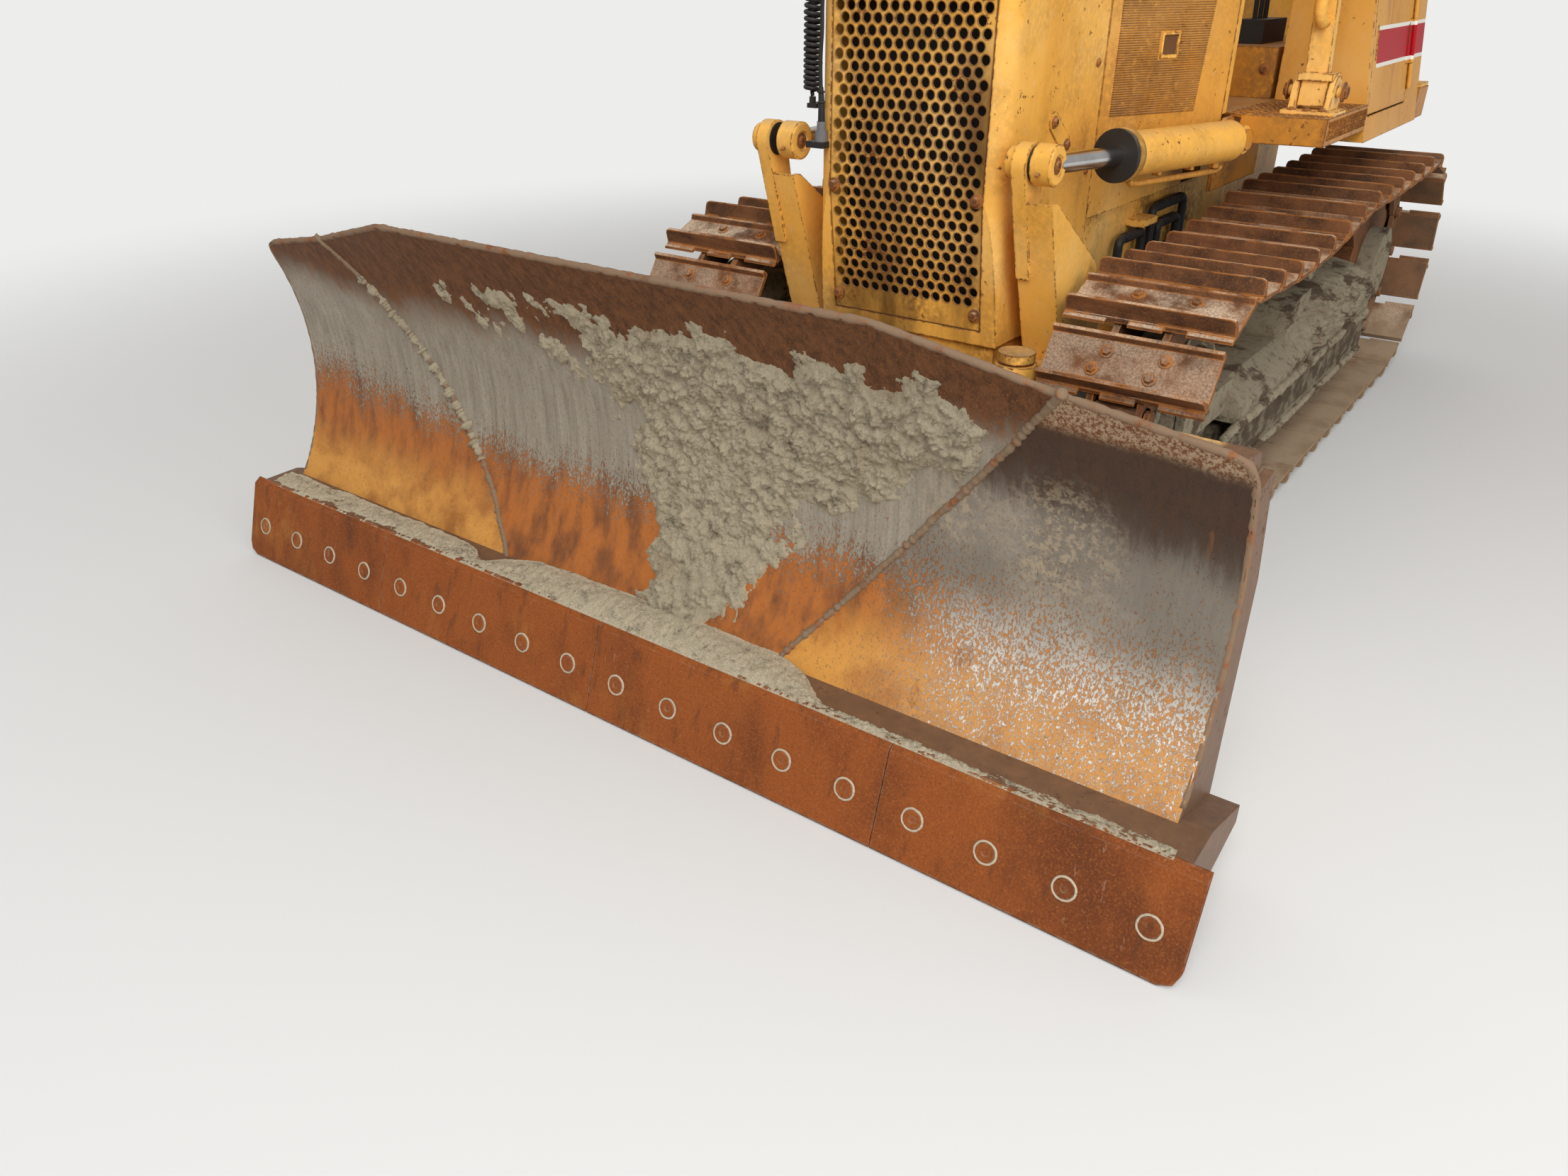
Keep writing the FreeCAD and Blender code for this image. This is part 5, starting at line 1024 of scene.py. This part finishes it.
def slot_shades():
    """Black sheets on the side boxes' doors, as painted shade inside their finger slots."""
    (y0, y1), (z0, z1) = FINGER_SLOT_Y, FINGER_SLOT_Z
    for side, sign in SIDES:
        shape = Shape()
        ring = [at(sign * (BOX_FACE_X - (z - BOX_FACE_LOW) * BOX_FACE_LEAN - 0.0075), y, z)
                for y, z in ((y0, z0), (y1, z0), (y1, z1), (y0, z1))]
        shape.prism(ring, (-sign * 0.001, 0, 0))
        shape.build("door_slot_shade_" + side, core_black, "box_door_" + side)


FLARE = math.radians(25)
FLARE_ALONG = Vector((math.sin(FLARE), math.cos(FLARE), 0))
FLARE_OUT = Vector((FLARE_ALONG.y, -FLARE_ALONG.x, 0))
FLARE_FROM_X = 0.285
FLARE_FROM_Y = 1.630
RIBS_FRONT = 1.668
RIBS_REAR = 1.962
RIBS_REAR_LEAN = 0.030
RIBS_FOOT = 1.118
RIBS_TOP = 1.492
RIB_STEP = 0.0062
RIB_SECTION = ((-0.0024, -0.001), (-0.0010, 0.0028), (0.0010, 0.0028), (0.0024, -0.001))
LATCH_Y = 1.842
LATCH_Z = 1.295
LATCH_CLEAR = 0.036
LATCH_BARS = ((0, 0.029, 0.058, 0.006), (0, -0.029, 0.058, 0.010), (-0.027, 0, 0.006, 0.052),
              (0.027, 0, 0.006, 0.052))


def panel_point(y, z, out=0.0):
    """A point on the left engine panel's flared face, or that far outside it."""
    return at(FLARE_FROM_X + (y - FLARE_FROM_Y) * math.tan(FLARE), y, z) + FLARE_OUT * out


def mirror_x(points, sign):
    return [Vector((sign * p.x, p.y, p.z)) for p in points]


def panel_plate(shape, sign, y, z, wide, tall, thick):
    """A thin upright plate on a flared panel."""
    corners = ((-1, -1), (1, -1), (1, 1), (-1, 1))
    ring = [panel_point(y + a * wide / 2, z + b * tall / 2, -0.001) for a, b in corners]
    shape.prism(mirror_x(ring, sign), (sign * FLARE_OUT.x * thick, FLARE_OUT.y * thick, 0))


def panel_ribs():
    """Fine level ribs pressed into the flared engine panels, round a square latch recess with painted shade
    in it.
    """
    for side, sign in SIDES:
        shape = Shape()
        for i in range(int((RIBS_TOP - RIBS_FOOT) / RIB_STEP)):
            z = RIBS_FOOT + RIB_STEP * i
            rear = RIBS_REAR + RIBS_REAR_LEAN * (z - RIBS_FOOT) / (RIBS_TOP - RIBS_FOOT)
            runs = [(RIBS_FRONT, rear)]
            if abs(z - LATCH_Z) < LATCH_CLEAR:
                runs = [(RIBS_FRONT, LATCH_Y - LATCH_CLEAR), (LATCH_Y + LATCH_CLEAR, rear)]
            for y0, y1 in runs:
                ring = [panel_point(y0, z + dz, out) for dz, out in RIB_SECTION]
                end = panel_point(y1, z) - panel_point(y0, z)
                shape.prism(mirror_x(ring, sign), (sign * end.x, end.y, 0))
        shape.build("panel_ribs_" + side, paint_ribs, "chassis")
        latch = Shape()
        for dy, dz, wide, tall in LATCH_BARS:
            panel_plate(latch, sign, LATCH_Y + dy, LATCH_Z + dz, wide, tall, 0.006)
        latch.build("latch_frame_" + side, paint, "chassis")
        # Painted shade: a thin brown sheet in the latch recess
        hollow_shade = Shape()
        panel_plate(hollow_shade, sign, LATCH_Y, LATCH_Z, 0.050, 0.050, 0.0022)
        hollow_shade.build("latch_hollow_" + side, recess_shade, "chassis")


DECK_Z = 1.099
DECK_HALF = 0.784
TREAD_STEP = 0.024
FLANGE_STEP = 0.0175


def deck_front(x):
    """Y of the deck's slanting front edge."""
    return 2.099 + (x - 0.542) * 0.025 / 0.243


def tread_lugs():
    """Raised lozenges on the platform's floor, and leaf-like bumps on its outer flange."""
    shape = Shape()
    for _, sign in SIDES:
        for i in range(14):
            for j in range(21):
                x = 0.50 + (i + (j % 2) * 0.5) * TREAD_STEP * 0.86
                y = 2.118 + j * TREAD_STEP
                if x > DECK_HALF - 0.010 or y < deck_front(x) + 0.012:
                    continue
                a = Vector((0.0085, 0.005, 0)) if (i + j) % 2 else Vector((-0.0085, 0.005, 0))
                b = Vector((-a.y, a.x, 0)) * 0.30
                c = at(sign * x, y, DECK_Z)
                shape.prism([c - a, c + b, c + a, c - b], (0, 0, 0.0026))
        for i in range(27):
            for j in range(3):
                c = at(sign * DECK_HALF, 2.146 + (i + (j % 2) * 0.5) * FLANGE_STEP, 1.046 + j * 0.018)
                a = Vector((0, 0.004 if j % 2 else -0.004, 0.0085))
                b = Vector((0, 0.0034, 0.0))
                shape.prism([c - a, c + b, c + a, c - b], (sign * 0.0036, 0, 0))
    return shape.build("tread_lugs", paint_deck, "chassis")


GRILLE_BOLTS = ((1.060, 0.961), (1.098, 0.657), (1.060, 1.440))
GRILLE_BOLT_X = 0.221
RISER_BOLT_X = 0.44
GUARD_X = 0.2845
COVER_R = 0.026
COVER_THICK = 0.004
FORWARD = Vector((0, -1, 0))


def guard_cover(foot, head):
    """Outline of a flat cover with round ends."""
    run = (head - foot).normalized()
    across = Vector((0, -run.z, run.y))
    ring = []
    for end, sense in ((head, 1), (foot, -1)):
        for i in range(13):
            a = math.pi * i / 12 - math.pi / 2
            ring.append(end + (run * math.cos(a) + across * math.sin(a)) * (sense * COVER_R))
    return ring


def guard_fasteners():
    """Grille bolts, the cover on the guard's left side and small fasteners of the hood and riser."""
    bolts = Shape()
    for y, z in GRILLE_BOLTS:
        for x in (GRILLE_BOLT_X, -GRILLE_BOLT_X):
            bolts.bolt(at(x, y, z), FORWARD, 0.022, 0.014)
    for x in (-RISER_BOLT_X, RISER_BOLT_X):
        bolts.bolt(at(x, 2.624, 1.19), FORWARD, 0.022, 0.012)
    foot, head = at(GUARD_X, 1.422, 1.066), at(GUARD_X, 1.333, 1.131)
    cover = Shape()
    cover.prism(guard_cover(foot, head), (COVER_THICK, 0, 0))
    for end in (head, foot):
        bolts.bolt(end + Vector((COVER_THICK, 0, 0)), (1, 0, 0), 0.019, 0.010)
    for z in (0.70, 0.98, 1.26, 1.50):
        for sign in (1, -1):
            bolts.bolt(at(sign * 0.2848, 1.585, z), (sign, 0, 0), 0.014, 0.007)
    cover.build("guard_cover", paint, "chassis")
    return bolts.build("guard_bolts", bolt_steel, "chassis")


# Stations along X on each lift eye's pin: the tower's boss face, the seal's far end, the eye's inner face
LIFT_PINS = {"left": (0.365, 0.373, 0.425), "right": (-0.423, -0.4203, -0.343)}
SEAL_R = 0.0435


def lift_pin_details():
    """Seal rings on the towers' bosses, and the chamfered face and bolt of each lift rod's eye."""
    for side, (boss_face, seal_end, eye_face) in LIFT_PINS.items():
        eye = LIFT_EYES[side]
        long = seal_end - boss_face
        seal = Shape()
        seal.lathe(Vector((boss_face - 0.001, eye.y, eye.z)), (1, 0, 0),
                   [(0, 0.040), (0.002, SEAL_R), (long, SEAL_R), (long + 0.0005, 0.040)], 32)
        seal.build("lift_seal_" + side, rubber, "c_frame", True)
        face = Shape()
        start = Vector((eye_face, eye.y, eye.z))
        face.lathe(start, (1, 0, 0), [(-0.002, 0.0475), (0.003, 0.0455), (0.004, 0.043), (0.004, 0.026),
                                      (-0.0005, 0.0235)], 36)
        face.build("lift_eye_face_" + side, paint, "lift_rod_" + side)
        bolt = Shape()
        bolt.lathe(start, (1, 0, 0), [(-0.001, 0.0215), (0.0012, 0.0215), (0.0014, 0.020)], 24)
        bolt.bolt(start, (1, 0, 0), 0.022, 0.0065, False)
        nipple = [(-0.004, 0.005), (0.006, 0.005), (0.008, 0.0035), (0.013, 0.0035)]
        bolt.lathe(eye + Vector((0.0, -0.049, -0.016)), (0, -1, -0.3), nipple, 10)
        bolt.build("lift_eye_bolt_" + side, bolt_steel, "lift_rod_" + side)


PIPE_R = 0.0085
WORN_RING_FROM = 0.631
WORN_RING_R = 0.0683


def lift_lines():
    """Hard pipe and port block under each lift barrel, with the clips that hold the pipe."""
    for side, root in LIFT_ROOTS.items():
        along = (LIFT_EYES[side] - root).normalized()
        down = (Vector((0, 0, -1)) + along * along.z).normalized()

        def spot(run, below):
            return root + along * run + down * below

        pipe = Shape()
        path = [spot(0.075, 0.070), spot(0.10, 0.079), spot(0.13, 0.080)]
        path += [spot(0.13 + 0.046 * i, 0.080) for i in range(1, 10)]
        path += [spot(0.572, 0.077), spot(0.586, 0.068), spot(0.590, 0.054)]
        pipe.tube(path, PIPE_R)
        for run, tall in ((0.590, 0.014), (0.115, 0.020)):
            pipe.lathe(spot(run, 0.050), down, [(0, 0.017), (tall, 0.017), (tall + 0.002, 0.014)], 6)
        for run in (0.26, 0.44):
            clip = [(0, 0.012), (0.002, 0.0135), (0.022, 0.0135), (0.024, 0.012)]
            pipe.lathe(spot(run, 0.056) - along * 0.012, along, clip, 4)
        pipe.build("lift_pipe_" + side, paint_panel, "lift_barrel_" + side)
        worn = Shape()
        ring = [(0, 0.0670), (0.001, WORN_RING_R), (0.026, WORN_RING_R), (0.027, 0.0670)]
        worn.lathe(root + along * WORN_RING_FROM, along, ring, 48)
        worn.build("lift_worn_ring_" + side, paint_grille, "lift_barrel_" + side, True)


POST_X = 0.704 - 0.062 * 0.07
POST_FORK_HALF = 0.078


def post_bolts():
    """Pin heads of the front posts' forked feet and the small bolts of their base plates."""
    shape = Shape()
    for _, sign in SIDES:
        for end in (-1, 1):
            head = at(sign * (POST_X + end * POST_FORK_HALF), 2.270, 1.162)
            shape.bolt(head, (sign * end, 0, 0), 0.034, 0.014)
        for dx in (-0.045, 0.0, 0.045):
            shape.bolt(at(sign * (POST_X + dx), 2.207, 1.112), (0, 0, 1), 0.015, 0.008)
    return shape.build("post_bolts", bolt_steel, "chassis")


# Each hose's ends along Y, its top's height and its axis' X
HOSES = ((1.870, 2.060, 0.740, 0.305), (2.130, 2.420, 0.800, 0.305), (2.180, 2.360, 0.745, 0.311))
WRAP_STEP = 0.014
WRAP_R = 0.0150
WRAP_WIRE_R = 0.0022
HOSE_BEND = 0.03


def hose_wraps():
    """Spiral guards wound on the hull's hoses."""
    wire = Shape()
    for y0, y1, top, x in HOSES:
        straight = y1 - y0 - 2 * HOSE_BEND
        last = int(straight / WRAP_STEP) * 12
        path = []
        for i in range(last + 1):
            a = 2 * math.pi * i / 12
            y = y0 + HOSE_BEND + straight * i / last
            path.append(at(x + WRAP_R * math.cos(a), y, top + WRAP_R * math.sin(a)))
        wire.tube(path, WRAP_WIRE_R, 5)
    return wire.build("hose_wraps", dark_metal, "chassis", True)


# Operator's seat as two padded cushions

SEAT_WIDE = 0.238
SEAT_CHANNELS = (-0.45, 0.45)
SEAT_BACK_LEAN = math.radians(10.6)
PAD_CUTS = 26


def pad(name, centre, half, tilt):
    """Crowned cushion with drawn-in corners and sewn channels, thickest along its local Z."""
    form = bmesh.new()
    bmesh.ops.create_cube(form, size=2)
    bmesh.ops.subdivide_edges(form, edges=form.edges[:], cuts=PAD_CUTS, use_grid_fill=True)
    turned = Matrix.Rotation(tilt, 3, "X")
    for vertex in form.verts:
        u, v, w = vertex.co
        r = (abs(u) ** 7 + abs(v) ** 7 + abs(w) ** 5) ** (1 / 7)
        u, v, w = u / r, v / r, w / r
        crown = 0.76 + 0.24 * (1 - u ** 4) * (1 - v ** 4)
        waist = 1 - 0.025 * (1 - abs(w)) - 0.02 * (1 - u * u) * (1 - v * v)
        sewn = sum(math.exp(-((u - line) / 0.035) ** 2) for line in SEAT_CHANNELS) * (0.10 if w > 0 else 0)
        crease = 0.004 * crumble(u * 2.5, v * 2.5, w)
        thick = w * half[2] * (crown - sewn) + crease * (w > 0)
        local = Vector((u * half[0] * waist, v * half[1] * waist, thick))
        vertex.co = centre + turned @ local
    mesh = bpy.data.meshes.new(name)
    form.to_mesh(mesh)
    form.free()
    mesh.shade_smooth()
    obj = mount(name, mesh, vinyl, "chassis")
    welt = Shape()
    path = []
    for i in range(97):
        a = 2 * math.pi * i / 96
        c, s = math.cos(a), math.sin(a)
        r = (abs(c) ** 7 + abs(s) ** 7) ** (-1 / 7)
        local = Vector((c * r * half[0] * 0.985, s * r * half[1] * 0.985, half[2] * 0.42))
        path.append(centre + turned @ local)
    welt.tube(path, 0.0045, 8)
    welt.build(name + "_welt", vinyl, "chassis", True)
    return obj


def seat_pads():
    cushion = pad("seat_cushion", at(0, 2.915, 1.420), (SEAT_WIDE, 0.233, 0.049), 0.0)
    pad("seat_backrest", at(0, 3.210, 1.716), (SEAT_WIDE, 0.236, 0.050), math.radians(90) - SEAT_BACK_LEAN)
    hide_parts("seat")


mud_clods()
dirt_ledge()
weld_beads()
blade_rim()
bolt_rings()
for side, sign in SIDES:
    track_shoes(side, sign)
    frame_mud(side, sign)
    frame_rails(side, sign)
panel_ribs()
slot_shades()
tread_lugs()
guard_fasteners()
lift_pin_details()
lift_lines()
post_bolts()
hose_wraps()
seat_pads()


# Light, floor and background

BACKGROUND = rgb(0.85, 0.85, 0.84)
FLOOR_TONE = rgb(0.72, 0.72, 0.71)
FLOOR_HALF = 40
LIT_TO = 2.6
EVEN_FROM = 6.5
WORLD_TINT = rgb(1.0, 0.99, 0.97)
WORLD_STRENGTH = 0.50
LAMPS = (("key", (3.0, -6.2, 6.0), 4.5, 400), ("top", (-3.0, 1.5, 7.0), 6.0, 50),
         ("side", (6.0, -3.2, 2.8), 3.5, 120))
LAMPS_AIM = Vector((0, -1.2, 0.5))


def floor_material():
    """Lit near the machine, so that its shadow shows, and one even tone far away."""
    look = Look("floor")
    lit = look.add("BsdfDiffuse", {"Color": FLOOR_TONE}).outputs[0]
    even = look.add("Emission", {"Color": BACKGROUND}).outputs[0]
    away = look.add("VectorMath", {0: look.place}, operation="LENGTH").outputs["Value"]
    rays = look.add("LightPath").outputs
    seen = look.calc("MAXIMUM", rays["Is Camera Ray"], rays["Is Glossy Ray"])
    seen = look.calc("MAXIMUM", seen, rays["Is Transmission Ray"])
    share = look.both(look.step(away, LIT_TO, EVEN_FROM), seen)
    return look.surface(look.add("MixShader", {0: share, 1: lit, 2: even}))


def world_light():
    """Soft even light, and the plain background where the camera sees past the floor."""
    look = Look("world", bpy.data.worlds)
    rays = look.add("LightPath").outputs
    seen = look.calc("MAXIMUM", rays["Is Camera Ray"], rays["Is Transmission Ray"])
    light = look.add("Background", {"Color": WORLD_TINT, "Strength": WORLD_STRENGTH}).outputs[0]
    shown = look.add("Background", {"Color": BACKGROUND, "Strength": 1.0}).outputs[0]
    return look.surface(look.add("MixShader", {0: seen, 1: light, 2: shown}), "OutputWorld")


def lamp(name, place, size, power):
    """A square area lamp turned to the machine."""
    data = bpy.data.lights.new(name, "AREA")
    data.size = size
    data.energy = power
    obj = add_object(name, data)
    obj.location = place
    obj.rotation_euler = (LAMPS_AIM - Vector(place)).to_track_quat("-Z", "Y").to_euler()


h = FLOOR_HALF
floor_mesh = bpy.data.meshes.new("floor")
floor_mesh.from_pydata([(-h, -h, 0), (h, -h, 0), (h, h, 0), (-h, h, 0)], [], [(0, 1, 2, 3)])
floor = add_object("floor", floor_mesh)
floor_mesh.materials.append(floor_material())
bpy.context.scene.world = world_light()
for settings in LAMPS:
    lamp(*settings)

bpy.context.scene.view_settings.view_transform = "Standard"
